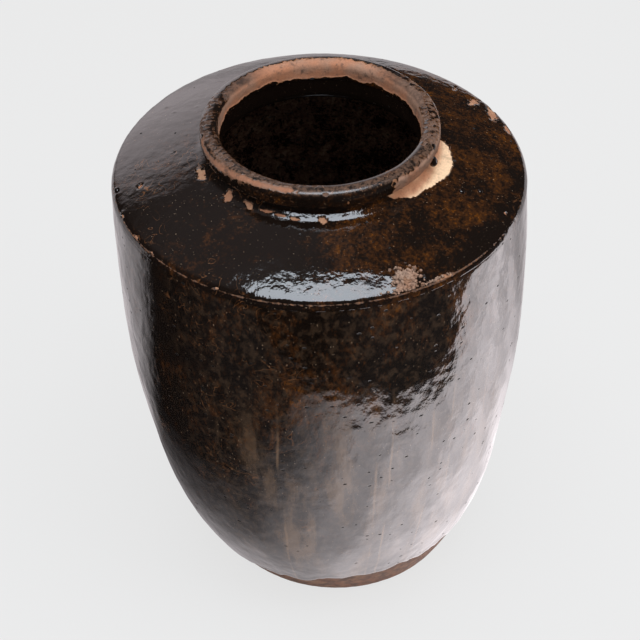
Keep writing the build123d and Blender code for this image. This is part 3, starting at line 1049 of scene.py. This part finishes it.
def ragged_wear():
    """A mask that eats into a finish where it is exposed, with a ragged edge."""

    def wire(w, given):
        ragged = w.cloud(given["Position"], given["Scale"], 5.0, 0.65)
        level = w.swayed(given["Exposure"], ragged, given["Raggedness"])
        return {"Mask": w.ease(level, 0.44, 0.56)}

    return shared_group(
        "Ragged wear",
        (
            ("Position", "Vector", None), ("Exposure", "Float", 0.0), ("Scale", "Float", 400.0),
            ("Raggedness", "Float", 0.5),
        ),
        (("Mask", "Float"),),
        wire,
    )


def pin_pits():
    """Scattered small pits, as a mask and a height."""

    def wire(w, given):
        cells = w.cells(given["Position"], given["Scale"])
        pick = w.picks(cells["Color"])[0]
        size = w.times(given["Size"], w.maths("ADD", pick, 0.4))
        round_pit = w.ease(cells["Distance"], w.times(size, 0.5), size, 1.0, 0.0)
        mask = w.times(round_pit, w.maths("LESS_THAN", pick, given["Share"]))
        return {"Mask": mask, "Height": w.times(mask, -1.0)}

    return shared_group(
        "Pin pits",
        (
            ("Position", "Vector", None), ("Scale", "Float", 120.0), ("Size", "Float", 0.2),
            ("Share", "Float", 0.3),
        ),
        (("Mask", "Float"), ("Height", "Float")),
        wire,
    )


def glaze_runs():
    """Thin upright runs, each with its own place, strength and length, as a mask."""

    def wire(w, given):
        place = given["Position"]
        axes = w.node("ShaderNodeSeparateXYZ", {0: place}).outputs
        turn = w.maths("DIVIDE", w.maths("ARCTAN2", axes["Y"], axes["X"]), TURN)
        wander = w.maths("SUBTRACT", w.cloud(place, given["Wander"], 3.0, 0.5), 0.5)
        lane = w.added(turn, given["Count"], w.times(wander, 0.7))
        cell = w.maths("FLOOR", lane)
        picked = w.node("ShaderNodeTexWhiteNoise", {"W": cell}, noise_dimensions="1D").outputs
        picks = w.picks(picked["Color"])
        centre = w.added(picks[0], 0.5, 0.25)
        away = w.maths("ABSOLUTE", w.maths("SUBTRACT", w.maths("SUBTRACT", lane, cell), centre))
        line = w.ease(away, 0.0, given["Width"], 1.0, 0.0)
        spot = w.node("ShaderNodeCombineXYZ", {0: w.times(cell, 7.3), 2: axes["Z"]}).outputs[0]
        broken = w.ease(w.cloud(w.stretch(spot, 1, 1, 15), 1.0, 3.0, 0.6), 0.42, 0.60)
        return {"Mask": w.times(w.times(line, broken), w.ease(picks[1], 0.25, 0.8))}

    return shared_group(
        "Glaze runs",
        (
            ("Position", "Vector", None), ("Count", "Float", 44.0), ("Width", "Float", 0.035),
            ("Wander", "Float", 12.0),
        ),
        (("Mask", "Float"),),
        wire,
    )


def scribbles():
    """Thin curling marks in patches, as a mask."""

    def wire(w, given):
        place, scale = given["Position"], given["Scale"]
        loops = w.cloud(place, scale, 1.0, 0.4, 2.2)
        curl = w.ease(w.maths("ABSOLUTE", w.maths("SUBTRACT", loops, 0.5)), 0.001, 0.013, 1.0, 0.0)
        patches = w.cloud(place, w.times(scale, 0.55), 3.0, 0.6)
        level = w.added(given["Amount"], 0.14, w.maths("SUBTRACT", patches, 0.14))
        return {"Mask": w.times(curl, w.ease(level, 0.50, 0.60))}

    return shared_group(
        "Scribbles",
        (("Position", "Vector", None), ("Scale", "Float", 55.0), ("Amount", "Float", 0.5)),
        (("Mask", "Float"),),
        wire,
    )


def clay_body():
    """Fired clay, from pale to orange, stained and grainy."""

    def wire(w, given):
        place = given["Position"]
        level = w.swayed(given["Blush"], w.cloud(place, 55.0, 4.0, 0.6), 1.3)
        colour = w.tint(w.ease(level, 0.0, 1.0), given["Pale"], given["Orange"])
        stain = w.cloud(place, 170.0, 5.0, 0.7)
        colour = w.tint(w.ease(stain, 0.52, 0.74, 0.0, given["Staining"]), colour, given["Stain"])
        grain = w.cloud(place, 900.0, 3.0, 0.6)
        colour = w.tint(w.ease(grain, 0.3, 0.7, 0.25, 0.0), colour, given["Stain"])
        return {"Colour": colour, "Height": w.added(grain, 0.5, stain)}

    return shared_group(
        "Clay body",
        (
            ("Position", "Vector", None), ("Blush", "Float", 0.3), ("Staining", "Float", 0.6),
            ("Pale", "Color", None), ("Orange", "Color", None), ("Stain", "Color", None),
        ),
        (("Colour", "Color"), ("Height", "Float")),
        wire,
    )


# Materials


def new_material(name):
    """A new material with its wiring, its Principled shader and the places on its piece."""
    material = bpy.data.materials.new(name)
    material.use_nodes = True
    material.node_tree.nodes.clear()
    wiring = Wiring(material.node_tree)
    shader = wiring.node("ShaderNodeBsdfPrincipled")
    wiring.node("ShaderNodeOutputMaterial", {"Surface": shader.outputs[0]})
    return material, wiring, shader, wiring.node("ShaderNodeTexCoord").outputs["Object"]


def finish(w, shader, colour, rough, height, depth):
    """Give a shader its colour, its roughness and a bump of a depth."""
    bump = w.node("ShaderNodeBump", {"Height": height, "Distance": depth, "Strength": 1.0})
    w.feed(shader.inputs["Base Color"], colour)
    w.feed(shader.inputs["Roughness"], rough)
    w.feed(shader.inputs["Normal"], bump.outputs[0])


def solid(colour):
    """A colour with full opacity."""
    return (*colour, 1.0)


def glaze_tones(colours, fresh=True):
    """The four tones of the mottled glaze, or of the dull one inside."""
    tones = (colours.glaze_dark, colours.glaze_brown, colours.glaze_amber, colours.glaze_speck)
    if not fresh:
        tones = (colours.glaze_dark, colours.clay_stain, colours.inside_brown, colours.inside_brown)
    return {name: solid(tone) for name, tone in zip(("Dark", "Middle", "Light", "Speck"), tones)}


def clay_tones(colours, pale):
    """The three tones of the clay body, of which the pale one differs by piece."""
    tones = (pale, colours.clay_orange, colours.clay_stain)
    return {name: solid(tone) for name, tone in zip(("Pale", "Orange", "Stain"), tones)}


def run_over(w, place, colour, pale, strength):
    """A colour under the pale dapples of painted reflection, the soft veil and the thin runs of glaze that
    flowed.
    """
    # Painted reflection: pale dapples that break up the floor's reflection on the wall
    reflection_dapple = w.ease(w.cloud(w.stretch(place, 1.0, 1.0, 0.8), 190.0, 3.0, 0.6), 0.44, 0.68, 0.0, 0.14)
    veil = w.ease(w.cloud(w.stretch(place, 1.0, 1.0, 0.2), 62.0, 5.0, 0.6), 0.46, 0.68, 0.0, 0.5)
    run = w.group(glaze_runs(), Position=place, Count=58.0, Width=0.10, Wander=10.0)["Mask"]
    colour = w.tint(w.times(reflection_dapple, w.paint("reflection_dapple")), colour, pale)
    colour = w.tint(w.times(veil, w.paint("runs")), colour, pale)
    return w.tint(w.times(w.times(run, w.paint("runs")), strength), colour, pale)


def glaze_material(name, colours, amber, runs=0.0, scribble=0.0, pits=0.3, fresh=True, flow=1.0):
    """Iron glaze: mottled, rippled and pitted, rusty where it is thin."""
    material, w, shader, place = new_material(name)
    shader.inputs["IOR"].default_value = colours.glaze_ior
    stain, rust = solid(colours.clay_stain), solid(colours.glaze_rust)
    colour = w.group(
        mottled_glaze(), Position=w.stretch(place, 1.0, 1.0, flow), Scale=26.0,
        Amber=w.added(w.paint("amber"), 0.42, amber), **glaze_tones(colours, fresh),
    )["Colour"]
    if runs:
        colour = run_over(w, place, colour, solid(colours.glaze_run), runs)
    if scribble:
        curl = w.group(scribbles(), Position=place, Scale=52.0, Amount=w.paint("scribble"))["Mask"]
        colour = w.tint(w.times(curl, scribble), colour, rust)
    wear = w.group(
        ragged_wear(), Position=place, Exposure=w.paint("rust"), Scale=330.0, Raggedness=1.3,
    )["Mask"]
    worn = w.tint(w.ease(w.cloud(place, 700.0, 3.0, 0.6), 0.40, 0.66), stain, rust)
    colour = w.tint(wear, colour, worn)
    colour = w.tint(w.times(w.paint("thin"), 0.7), colour, stain)
    upright = w.stretch(place, 1.0, 1.0, 1.8)
    pit = w.group(pin_pits(), Position=upright, Scale=110.0, Size=0.32, Share=pits)
    colour = w.tint(pit["Mask"], colour, solid(colours.glaze_dark))
    gloss = w.ease(w.cloud(place, 34.0, 4.0, 0.6), 0.3, 0.75, 0.04, 0.12)
    rough = w.blend(pit["Mask"], w.blend(wear, gloss, 0.5), 0.8)
    waves = w.cloud(w.stretch(place, 1.0, 1.0, 0.6), 150.0, 3.0, 0.5)
    height = w.added(waves, 2.9, w.times(w.cloud(place, 380.0, 2.0, 0.5), 0.4))
    height = w.added(wear, -0.5, w.added(pit["Height"], 1.1, height))
    finish(w, shader, colour, rough, height, 0.11 * MM)
    return material


def clay_material(name, colours, staining):
    """Bare fired clay."""
    material, w, shader, place = new_material(name)
    stain = solid(colours.clay_stain)
    body = w.group(
        clay_body(), Position=place, Blush=w.paint("blush"), Staining=staining,
        **clay_tones(colours, colours.clay_pale),
    )
    pit = w.group(pin_pits(), Position=place, Scale=420.0, Size=0.3, Share=0.35)
    soot = w.times(w.paint("soot"), w.ease(w.cloud(place, 130.0, 5.0, 0.7), 0.35, 0.62, 1.0, 0.62))
    colour = w.tint(soot, body["Colour"], stain)
    colour = w.tint(w.times(pit["Mask"], 0.6), colour, stain)
    finish(w, shader, colour, 0.82, w.added(pit["Height"], 1.2, body["Height"]), 0.16 * MM)
    return material


def lip_material(name, colours):
    """The lip: glaze over clay, bare where the lip is worn."""
    material, w, shader, place = new_material(name)
    shader.inputs["IOR"].default_value = colours.glaze_ior
    brown = solid(colours.glaze_brown)
    mottle = w.group(mottled_glaze(), Position=place, Scale=30.0, Amber=0.12, **glaze_tones(colours))
    body = w.group(
        clay_body(), Position=place, Blush=w.paint("blush"), Staining=1.0,
        **clay_tones(colours, colours.clay_worn),
    )
    bare = w.group(
        ragged_wear(), Position=place, Exposure=w.paint("bare"), Scale=520.0, Raggedness=0.35,
    )["Mask"]
    thin = w.maths("ADD", w.paint("bare"), 0.16)
    edge = w.group(ragged_wear(), Position=place, Exposure=thin, Scale=300.0, Raggedness=0.5)["Mask"]
    rust = w.tint(w.times(w.paint("soot"), 0.85), solid(colours.glaze_rust), brown)
    glaze = w.tint(edge, mottle["Colour"], rust)
    rubbed = w.times(w.paint("crest"), w.ease(w.cloud(place, 260.0, 5.0, 0.7), 0.38, 0.60))
    glaze = w.tint(w.times(rubbed, 0.28), glaze, solid(colours.clay_worn))
    soot = w.times(w.paint("soot"), w.ease(w.cloud(place, 240.0, 5.0, 0.7), 0.38, 0.66, 1.0, 0.70))
    colour = w.tint(bare, glaze, w.tint(soot, body["Colour"], brown))
    glazed_rough = w.blend(edge, w.blend(w.paint("crest"), 0.12, 0.27), 0.4)
    skin = w.times(w.cloud(place, 300.0, 2.0, 0.5), 0.35)
    height = w.blend(bare, skin, w.maths("SUBTRACT", body["Height"], 1.0))
    finish(w, shader, colour, w.blend(bare, glazed_rough, 0.85), height, 0.15 * MM)
    return material


def grit_material(name, colours):
    """Fused kiln grit: pale and rusty grains, darkened by painted shade towards the hollows between them.
    """
    material, w, shader, place = new_material(name)
    body = w.group(
        clay_body(), Position=place, Blush=0.25, Staining=0.9, **clay_tones(colours, colours.grit),
    )
    shade = w.picks(w.cells(place, 260.0)["Color"])[0]
    colour = w.tint(w.ease(shade, 0.62, 0.8, 0.0, 0.5), body["Colour"], solid(colours.glaze_rust))
    # Painted shade: the depth paint darkens the lower parts of the grains towards the stain colour
    colour = w.tint(w.paint("depth"), colour, solid(colours.clay_stain))
    finish(w, shader, colour, 0.75, body["Height"], 0.3 * MM)
    return material


# Studio

SENSOR_WIDTH = 36
FLOOR_REACH = 6
# Panels that glossy surfaces see in the room: direction, cosines of rim and heart, and brightness
PANELS = (
    ((-0.33, 0.91, 0.25), 0.875, 0.995, 1.25),
    ((-0.30, 0.38, 0.87), 0.84, 0.99, 0.12),
)
PANEL_COLOUR = (1.0, 0.90, 0.93)
FLOOR_SHINE_COLOUR = (1.0, 0.925, 0.95)
# Softboxes: name, place, aim, width and depth, power, colour and whether the glaze mirrors them
SOFTBOXES = (
    ("overhead", (0.04, -0.27, 1.9), (0.04, -0.2, 0.36), (1.08, 0.66), 14, (0.84, 0.91, 1.0), True),
    ("key", (1.1, -0.5, 1.5), (0, 0, 0.2), (0.8, 0.8), 7, (1, 1, 1), False),
)


def place_camera(studio):
    """The camera, aimed down at the jar from the photograph's angle."""
    lens = bpy.data.cameras.new("camera")
    lens.lens, lens.sensor_width = studio.lens, SENSOR_WIDTH
    camera = put_in_scene("camera", lens)
    tilt, roll = studio.elevation, studio.roll
    ahead = np.array((0, math.cos(tilt), -math.sin(tilt)))
    side = np.array((1.0, 0, 0))
    above = np.cross(side, ahead)
    right = math.cos(roll) * side + math.sin(roll) * above
    up = math.cos(roll) * above - math.sin(roll) * side
    spot = np.array((studio.aim_side, 0, studio.aim_height)) - studio.distance * ahead
    rows = np.stack((right, up, -ahead, spot), -1)
    camera.matrix_world = Matrix((*rows.tolist(), (0, 0, 0, 1)))
    bpy.context.scene.camera = camera


def soft_light(name, place, aim, size, power, colour, mirrored):
    """A rectangular softbox, aimed at a place, which shows in the glaze only where mirrored."""
    lamp = bpy.data.lights.new(name, "AREA")
    lamp.shape, lamp.size, lamp.size_y = "RECTANGLE", *size
    lamp.energy, lamp.color = power, colour
    light = put_in_scene(name, lamp)
    light.location = place
    light.rotation_euler = (Vector(aim) - Vector(place)).to_track_quat("-Z", "Y").to_euler()
    light.visible_camera = False
    light.visible_glossy = mirrored


def soft_panel():
    """How brightly a soft panel shows in a direction."""

    def wire(w, given):
        sides = {0: given["Direction"], 1: given["Towards"]}
        towards = w.node("ShaderNodeVectorMath", sides, operation="DOT_PRODUCT").outputs["Value"]
        return {"Glow": w.ease(towards, given["Rim"], given["Heart"])}

    return shared_group(
        "Soft panel",
        (
            ("Direction", "Vector", None), ("Towards", "Vector", None), ("Rim", "Float", 0.7),
            ("Heart", "Float", 0.9),
        ),
        (("Glow", "Float"),),
        wire,
    )


def light_world(studio):
    """A pale even room, which glossy surfaces see as a dark studio with two soft panels."""
    world = bpy.data.worlds.new("studio")
    bpy.context.scene.world = world
    world.use_nodes = True
    tree = world.node_tree
    tree.nodes.clear()
    w = Wiring(tree)
    direction = w.node("ShaderNodeTexCoord").outputs["Generated"]
    glow = studio.gloom
    for towards, rim, heart, strength in PANELS:
        panel = w.group(soft_panel(), Direction=direction, Towards=towards, Rim=rim, Heart=heart)
        glow = w.added(panel["Glow"], strength, glow)
    ray = w.node("ShaderNodeLightPath").outputs
    even = w.blend(ray["Is Camera Ray"], studio.dome, studio.backdrop)
    strength = w.blend(ray["Is Glossy Ray"], even, glow)
    tone = w.tint(ray["Is Glossy Ray"], solid((1, 1, 1)), solid(PANEL_COLOUR))
    back = w.node("ShaderNodeBackground", {"Color": tone, "Strength": strength})
    w.node("ShaderNodeOutputWorld", {"Surface": back.outputs[0]})


def floor_reflection(w, place, brightest):
    """How brightly the floor glows to glossy surfaces, a painted reflection: brightest at the right as if
    lit from there, and dark in front of the jar.
    """
    axes = w.node("ShaderNodeSeparateXYZ", {0: place}).outputs

    def past(across, ahead, offset=0.0):
        """How far a place on the floor lies past a line."""
        return w.added(axes["X"], across, w.added(axes["Y"], ahead, offset))

    glow = w.ease(past(1.0, 0.38), -0.284, 0.096, 0.04, brightest)
    beside = past(-0.45, 1.0)
    glow = w.times(glow, w.ease(beside, -0.175, -0.094, 1.0, 0.59))
    glow = w.times(glow, w.ease(beside, -0.06, 0.10, 1.0, 0.40))
    glow = w.maths("MAXIMUM", glow, w.ease(axes["Y"], 0.0, 0.15, 0.0, 0.72))
    away = w.node("ShaderNodeVectorMath", {0: place}, operation="LENGTH").outputs["Value"]
    glow = w.times(glow, w.ease(away, 0.08, 0.125, 0.5, 1.0))
    glow = w.times(glow, w.ease(w.cloud(place, 15.0, 2.0, 0.5), 0.36, 0.64, 0.88, 1.12))
    # The floor's painted glow ends in front of the jar along three lines
    near = w.maths("MAXIMUM", past(-0.638, 0.770, 0.373), past(0.0, 1.0, 0.185))
    glowing = w.ease(w.maths("MINIMUM", past(-0.364, 0.931, 0.389), near), -0.012, 0.012)
    return w.times(glow, w.added(glowing, 0.98, 0.02))


def lay_floor(studio):
    """A pale floor for the jar to stand on, which glossy surfaces see glowing with painted light, as if lit
    from one side.
    """
    mesh = bpy.data.meshes.new("floor")
    corners = [(-1, -1), (1, -1), (1, 1), (-1, 1)]
    mesh.from_pydata([(x * FLOOR_REACH, y * FLOOR_REACH, 0) for x, y in corners], [], [(0, 1, 2, 3)])
    floor = put_in_scene("floor", mesh)
    material, w, shader, place = new_material("pale_floor")
    shader.inputs["Base Color"].default_value = solid(studio.floor_colour)
    shader.inputs["Roughness"].default_value = 1.0
    shader.inputs["Specular IOR Level"].default_value = 0.0
    glow = floor_reflection(w, place, studio.floor_glow)
    # Painted reflection: glossy rays see the floor glow, brightest at the right
    shine = w.node("ShaderNodeEmission", {"Color": solid(FLOOR_SHINE_COLOUR), "Strength": glow})
    table = w.node("ShaderNodeEmission", {"Color": solid((1, 1, 1)), "Strength": studio.backdrop})
    ray = w.node("ShaderNodeLightPath").outputs
    lifted_share = w.times(ray["Is Camera Ray"], studio.floor_lift)
    pale = w.node("ShaderNodeMixShader", {0: lifted_share, 1: shader.outputs[0], 2: table.outputs[0]})
    both = w.node("ShaderNodeMixShader", {0: ray["Is Glossy Ray"], 1: pale.outputs[0], 2: shine.outputs[0]})
    output = next(node for node in w.tree.nodes if node.type == "OUTPUT_MATERIAL")
    w.feed(output.inputs["Surface"], both.outputs[0])
    mesh.materials.append(material)


# What a user may change


def length_prop(name, description, default):
    """A length that a user may change."""
    return FloatProperty(name=name, description=description, default=default, unit="LENGTH")


def angle_prop(name, description, degrees):
    """An angle that a user may change."""
    return FloatProperty(
        name=name, description=description, default=math.radians(degrees), subtype="ANGLE")


def colour_prop(name, description, default):
    """A colour that a user may change."""
    return FloatVectorProperty(
        name=name, description=description, default=default, subtype="COLOR", min=0, max=1)


def strength_prop(name, description, default):
    """A brightness or a share that a user may change."""
    return FloatProperty(name=name, description=description, default=default, min=0)


class JarShape(bpy.types.PropertyGroup):
    """Sizes of the jar."""

    belly_radius: length_prop("Belly radius", "Radius of the clay at the belly", BELLY_RADIUS)
    foot_radius: length_prop("Foot radius", "Radius of the wall at the ground", 0.1012)
    arris_height: length_prop("Arris height", "Height of the sharp edge of the shoulder", 0.3615)
    arris_inset: length_prop("Arris inset", "How far the arris lies inside the belly", 0.003)
    hip_inset: length_prop("Hip inset", "How far the hip lies inside the belly", 0.0125)
    foot_bevel: length_prop("Foot bevel", "Bevel at the ground", 0.0015)
    foot_ring: length_prop("Foot ring", "Width of the flat that the jar stands on", 0.022)
    dish_depth: length_prop("Dish depth", "Depth of the hollow underneath", 0.0018)
    arris_round: length_prop("Arris rounding", "Reach of the rounding at the arris", 0.0024)
    mouth_radius: length_prop("Mouth radius", "Radius of the bore inside the lip", MOUTH_RADIUS)
    lip_width: length_prop("Lip width", "Width of the rolled lip", LIP_HIGH.x - MOUTH_RADIUS)
    lip_height: length_prop("Lip height", "Height of the rolled lip", LIP_HIGH.z - LIP_LOW.z)
    lip_round: length_prop("Lip rounding", "Reach of the rounding over the lip", 0.0062)
    lip_overhang: length_prop("Lip overhang", "How far the lip stands out from the neck", 0.006)
    root_lift: length_prop("Root lift", "Rise of the shoulder under the overhang of the lip", 0.002)
    lip_under: length_prop("Lip underside", "Height of the slope under the lip", 0.003)
    neck_height: length_prop("Neck height", "Height of the neck under the lip", 0.009)
    neck_round: length_prop("Neck rounding", "Reach of the rounding at the foot of the cove", 0.0025)
    cove_width: length_prop("Cove width", "Width of the sloping cove at the foot of the neck", 0.0072)
    cove_rise: length_prop("Cove rise", "Height of the cove on the neck", 0.0040)
    collar_gap: length_prop("Collar margin", "Clay of the collar outside its cove", 0.001)
    shoulder_rise: length_prop("Shoulder rise", "Rise of the shoulder from the arris to the neck", 0.019)
    shoulder_bulge: length_prop(
        "Shoulder bulge", "How far the shoulder stands above a straight slope", 0.0025)
    shoulder_thickness: length_prop("Shoulder thickness", "Thickness of the clay of the shoulder", 0.011)
    wall_thickness: length_prop("Wall thickness", "Thickness of the clay wall", 0.012)
    base_thickness: length_prop("Base thickness", "Thickness of the slab at the foot", SLAB_TOP)
    floor_round: length_prop("Floor rounding", "Curve from the floor to the wall inside", 0.012)
    inside_round: length_prop("Shoulder rounding inside", "Curve under the shoulder inside", 0.010)
    throat_round: length_prop("Throat rounding", "Curve into the throat inside", 0.007)
    throat_step: length_prop("Throat step", "Step in the throat under the lip", 0.0005)
    seat_fall: length_prop("Seat fall", "Fall of the bevelled seats", 0.004)
    shoulder_seat_drop: length_prop(
        "Shoulder seat drop", "How far the shoulder laps down the wall", 0.017)
    coat: length_prop("Glaze thickness", "Thickness of the coat outside", 0.001)
    inside_coat: length_prop("Inner glaze thickness", "Thickness of the coat inside", 0.0012)
    lap_height: length_prop(
        "Lap height", "Height at which the shoulder's coat laps over the wall's", LAP_HEIGHT)
    bare_foot: length_prop("Bare foot", "Mean height of the clay left bare at the foot", 0.0125)
    lean: length_prop("Lean", "How far the foot stands to the side of the arris", 0.0108)
    wobble: length_prop("Out of round", "How far the jar strays from round", 0.0006)


class JarColours(bpy.types.PropertyGroup):
    """Colours and gloss of the glaze and the clay."""

    glaze_dark: colour_prop("Dark glaze", "Where the glaze is thick", (0.007, 0.0042, 0.003))
    glaze_brown: colour_prop("Brown glaze", "The glaze in between", (0.037, 0.0138, 0.0048))
    glaze_amber: colour_prop("Amber glaze", "Where the glaze is thin and clear", (0.12, 0.038, 0.003))
    glaze_speck: colour_prop("Speck", "Pale specks in the glaze", (0.30, 0.22, 0.15))
    inside_brown: colour_prop("Inside brown", "Dull glaze inside", (0.17, 0.11, 0.075))
    glaze_rust: colour_prop("Rust", "Glaze worn thin on edges", (0.23, 0.095, 0.037))
    glaze_run: colour_prop("Run", "Pale runs in the glaze of the wall", (0.20, 0.12, 0.07))
    glaze_ior: FloatProperty(
        name="Glaze refraction", description="Index of refraction of the glaze", default=1.7, min=1, max=3)
    clay_pale: colour_prop("Pale clay", "Fresh clay under flaked glaze", (0.90, 0.62, 0.39))
    clay_worn: colour_prop("Worn clay", "Handled clay on the lip", (0.36, 0.20, 0.13))
    clay_orange: colour_prop("Orange clay", "Clay flushed by the fire", (0.46, 0.19, 0.095))
    clay_stain: colour_prop("Stain", "Dirt and iron stain on the clay", (0.085, 0.045, 0.03))
    grit: colour_prop("Grit", "Kiln grit", (0.34, 0.24, 0.18))


class JarStudio(bpy.types.PropertyGroup):
    """Camera, floor and lights."""

    elevation: angle_prop("Camera elevation", "How far the camera looks down", 42.68)
    roll: angle_prop("Camera roll", "Turn of the camera about its line of sight", -0.8)
    distance: length_prop("Camera distance", "From the camera to its aim", 1.2646)
    aim_height: length_prop("Aim height", "Height of the camera's aim", 0.2112)
    aim_side: length_prop("Aim side", "How far right of the axis the camera aims", -0.0052)
    lens: FloatProperty(name="Lens", description="Focal length in millimetres", default=90.0, min=1)
    floor_colour: colour_prop("Floor", "Colour of the floor", (0.76, 0.76, 0.76))
    floor_lift: strength_prop(
        "Floor lift", "Share of the floor's own light, which softens the shadows", 0.86)
    floor_glow: strength_prop("Floor glow", "Brightness of the floor at the right in reflections", 2.85)
    dome: strength_prop("Dome", "Strength of the even light from all around", 0.78)
    gloom: strength_prop("Gloom", "Brightness of the room in reflections", 0.02)
    backdrop: strength_prop("Backdrop", "Brightness of the room to the eye", 0.83)


# Operators


class JAR_OT_clay(bpy.types.Operator):
    """Turn the clay: slab, two lifts of wall, shoulder and neck collar"""

    bl_idname = "jar.clay"
    bl_label = "Turn the Clay"

    def execute(self, context):
        material = clay_material("fired_clay", context.scene.jar_colours, staining=0.45)
        build_clay(context.scene.jar_shape, material)
        return {"FINISHED"}


class JAR_OT_wall_coat(bpy.types.Operator):
    """Glaze the wall down to the lobes above the foot"""

    bl_idname = "jar.wall_coat"
    bl_label = "Glaze the Wall"

    def execute(self, context):
        material = glaze_material(
            "wall_glaze", context.scene.jar_colours,
            amber=0.01, runs=0.7, scribble=0.4, pits=0.32, flow=0.5,
        )
        build_wall_coat(context.scene.jar_shape, material)
        return {"FINISHED"}


class JAR_OT_shoulder_coat(bpy.types.Operator):
    """Glaze the shoulder and neck, and flake the glaze away"""

    bl_idname = "jar.shoulder_coat"
    bl_label = "Glaze the Shoulder"

    def execute(self, context):
        material = glaze_material(
            "shoulder_glaze", context.scene.jar_colours, amber=-0.02, scribble=0.6, pits=0.15,
        )
        build_shoulder_coat(context.scene.jar_shape, material)
        return {"FINISHED"}


class JAR_OT_inner_coat(bpy.types.Operator):
    """Glaze the inside up to the foot of the lip"""

    bl_idname = "jar.inner_coat"
    bl_label = "Glaze the Inside"

    def execute(self, context):
        material = glaze_material("inside_glaze", context.scene.jar_colours, amber=0.5, fresh=False)
        build_inner_coat(context.scene.jar_shape, material)
        return {"FINISHED"}


class JAR_OT_lip(bpy.types.Operator):
    """Roll the lip and wear its glaze"""

    bl_idname = "jar.lip"
    bl_label = "Roll the Lip"

    def execute(self, context):
        build_lip(context.scene.jar_shape, lip_material("worn_lip", context.scene.jar_colours))
        return {"FINISHED"}


class JAR_OT_grit(bpy.types.Operator):
    """Fuse the lump of kiln grit to the shoulder"""

    bl_idname = "jar.grit"
    bl_label = "Fuse the Grit"

    def execute(self, context):
        build_grit(context.scene.jar_shape, grit_material("fused_grit", context.scene.jar_colours))
        return {"FINISHED"}


class JAR_OT_beads(bpy.types.Operator):
    """Drop the beads of run glaze"""

    bl_idname = "jar.beads"
    bl_label = "Drop the Beads"

    def execute(self, context):
        material = glaze_material("bead_glaze", context.scene.jar_colours, amber=-0.1, pits=0.0)
        build_beads(context.scene.jar_shape, material)
        return {"FINISHED"}


class JAR_OT_studio(bpy.types.Operator):
    """Lay the floor, hang the lights and aim the camera"""

    bl_idname = "jar.studio"
    bl_label = "Set the Studio"

    def execute(self, context):
        studio = context.scene.jar_studio
        context.scene.view_settings.view_transform = "Standard"
        place_camera(studio)
        lay_floor(studio)
        light_world(studio)
        for softbox in SOFTBOXES:
            soft_light(*softbox)
        return {"FINISHED"}


STEPS = (
    JAR_OT_clay, JAR_OT_wall_coat, JAR_OT_shoulder_coat, JAR_OT_inner_coat, JAR_OT_lip,
    JAR_OT_grit, JAR_OT_beads, JAR_OT_studio,
)


class JAR_PT_maker(bpy.types.Panel):
    """The jar's sizes, colours and steps"""

    bl_label = "Storage Jar"
    bl_idname = "JAR_PT_maker"
    bl_space_type = "VIEW_3D"
    bl_region_type = "UI"
    bl_category = "Jar"

    def draw(self, context):
        scene = context.scene
        for group in (scene.jar_shape, scene.jar_colours, scene.jar_studio):
            box = self.layout.box()
            for name in group.__annotations__:
                box.prop(group, name)
        for step in STEPS:
            self.layout.operator(step.bl_idname)


CLASSES = (JarShape, JarColours, JarStudio, *STEPS, JAR_PT_maker)


def register():
    for kind in CLASSES:
        bpy.utils.register_class(kind)
    bpy.types.Scene.jar_shape = PointerProperty(type=JarShape)
    bpy.types.Scene.jar_colours = PointerProperty(type=JarColours)
    bpy.types.Scene.jar_studio = PointerProperty(type=JarStudio)


def unregister():
    for name in ("jar_shape", "jar_colours", "jar_studio"):
        delattr(bpy.types.Scene, name)
    for kind in reversed(CLASSES):
        bpy.utils.unregister_class(kind)


def main():
    """Build the jar and its studio."""
    register()
    for step in STEPS:
        group, name = step.bl_idname.split(".")
        if getattr(getattr(bpy.ops, group), name)() != {"FINISHED"}:
            raise RuntimeError(f"{step.bl_label} did not finish")


if __name__ == "__main__":
    main()
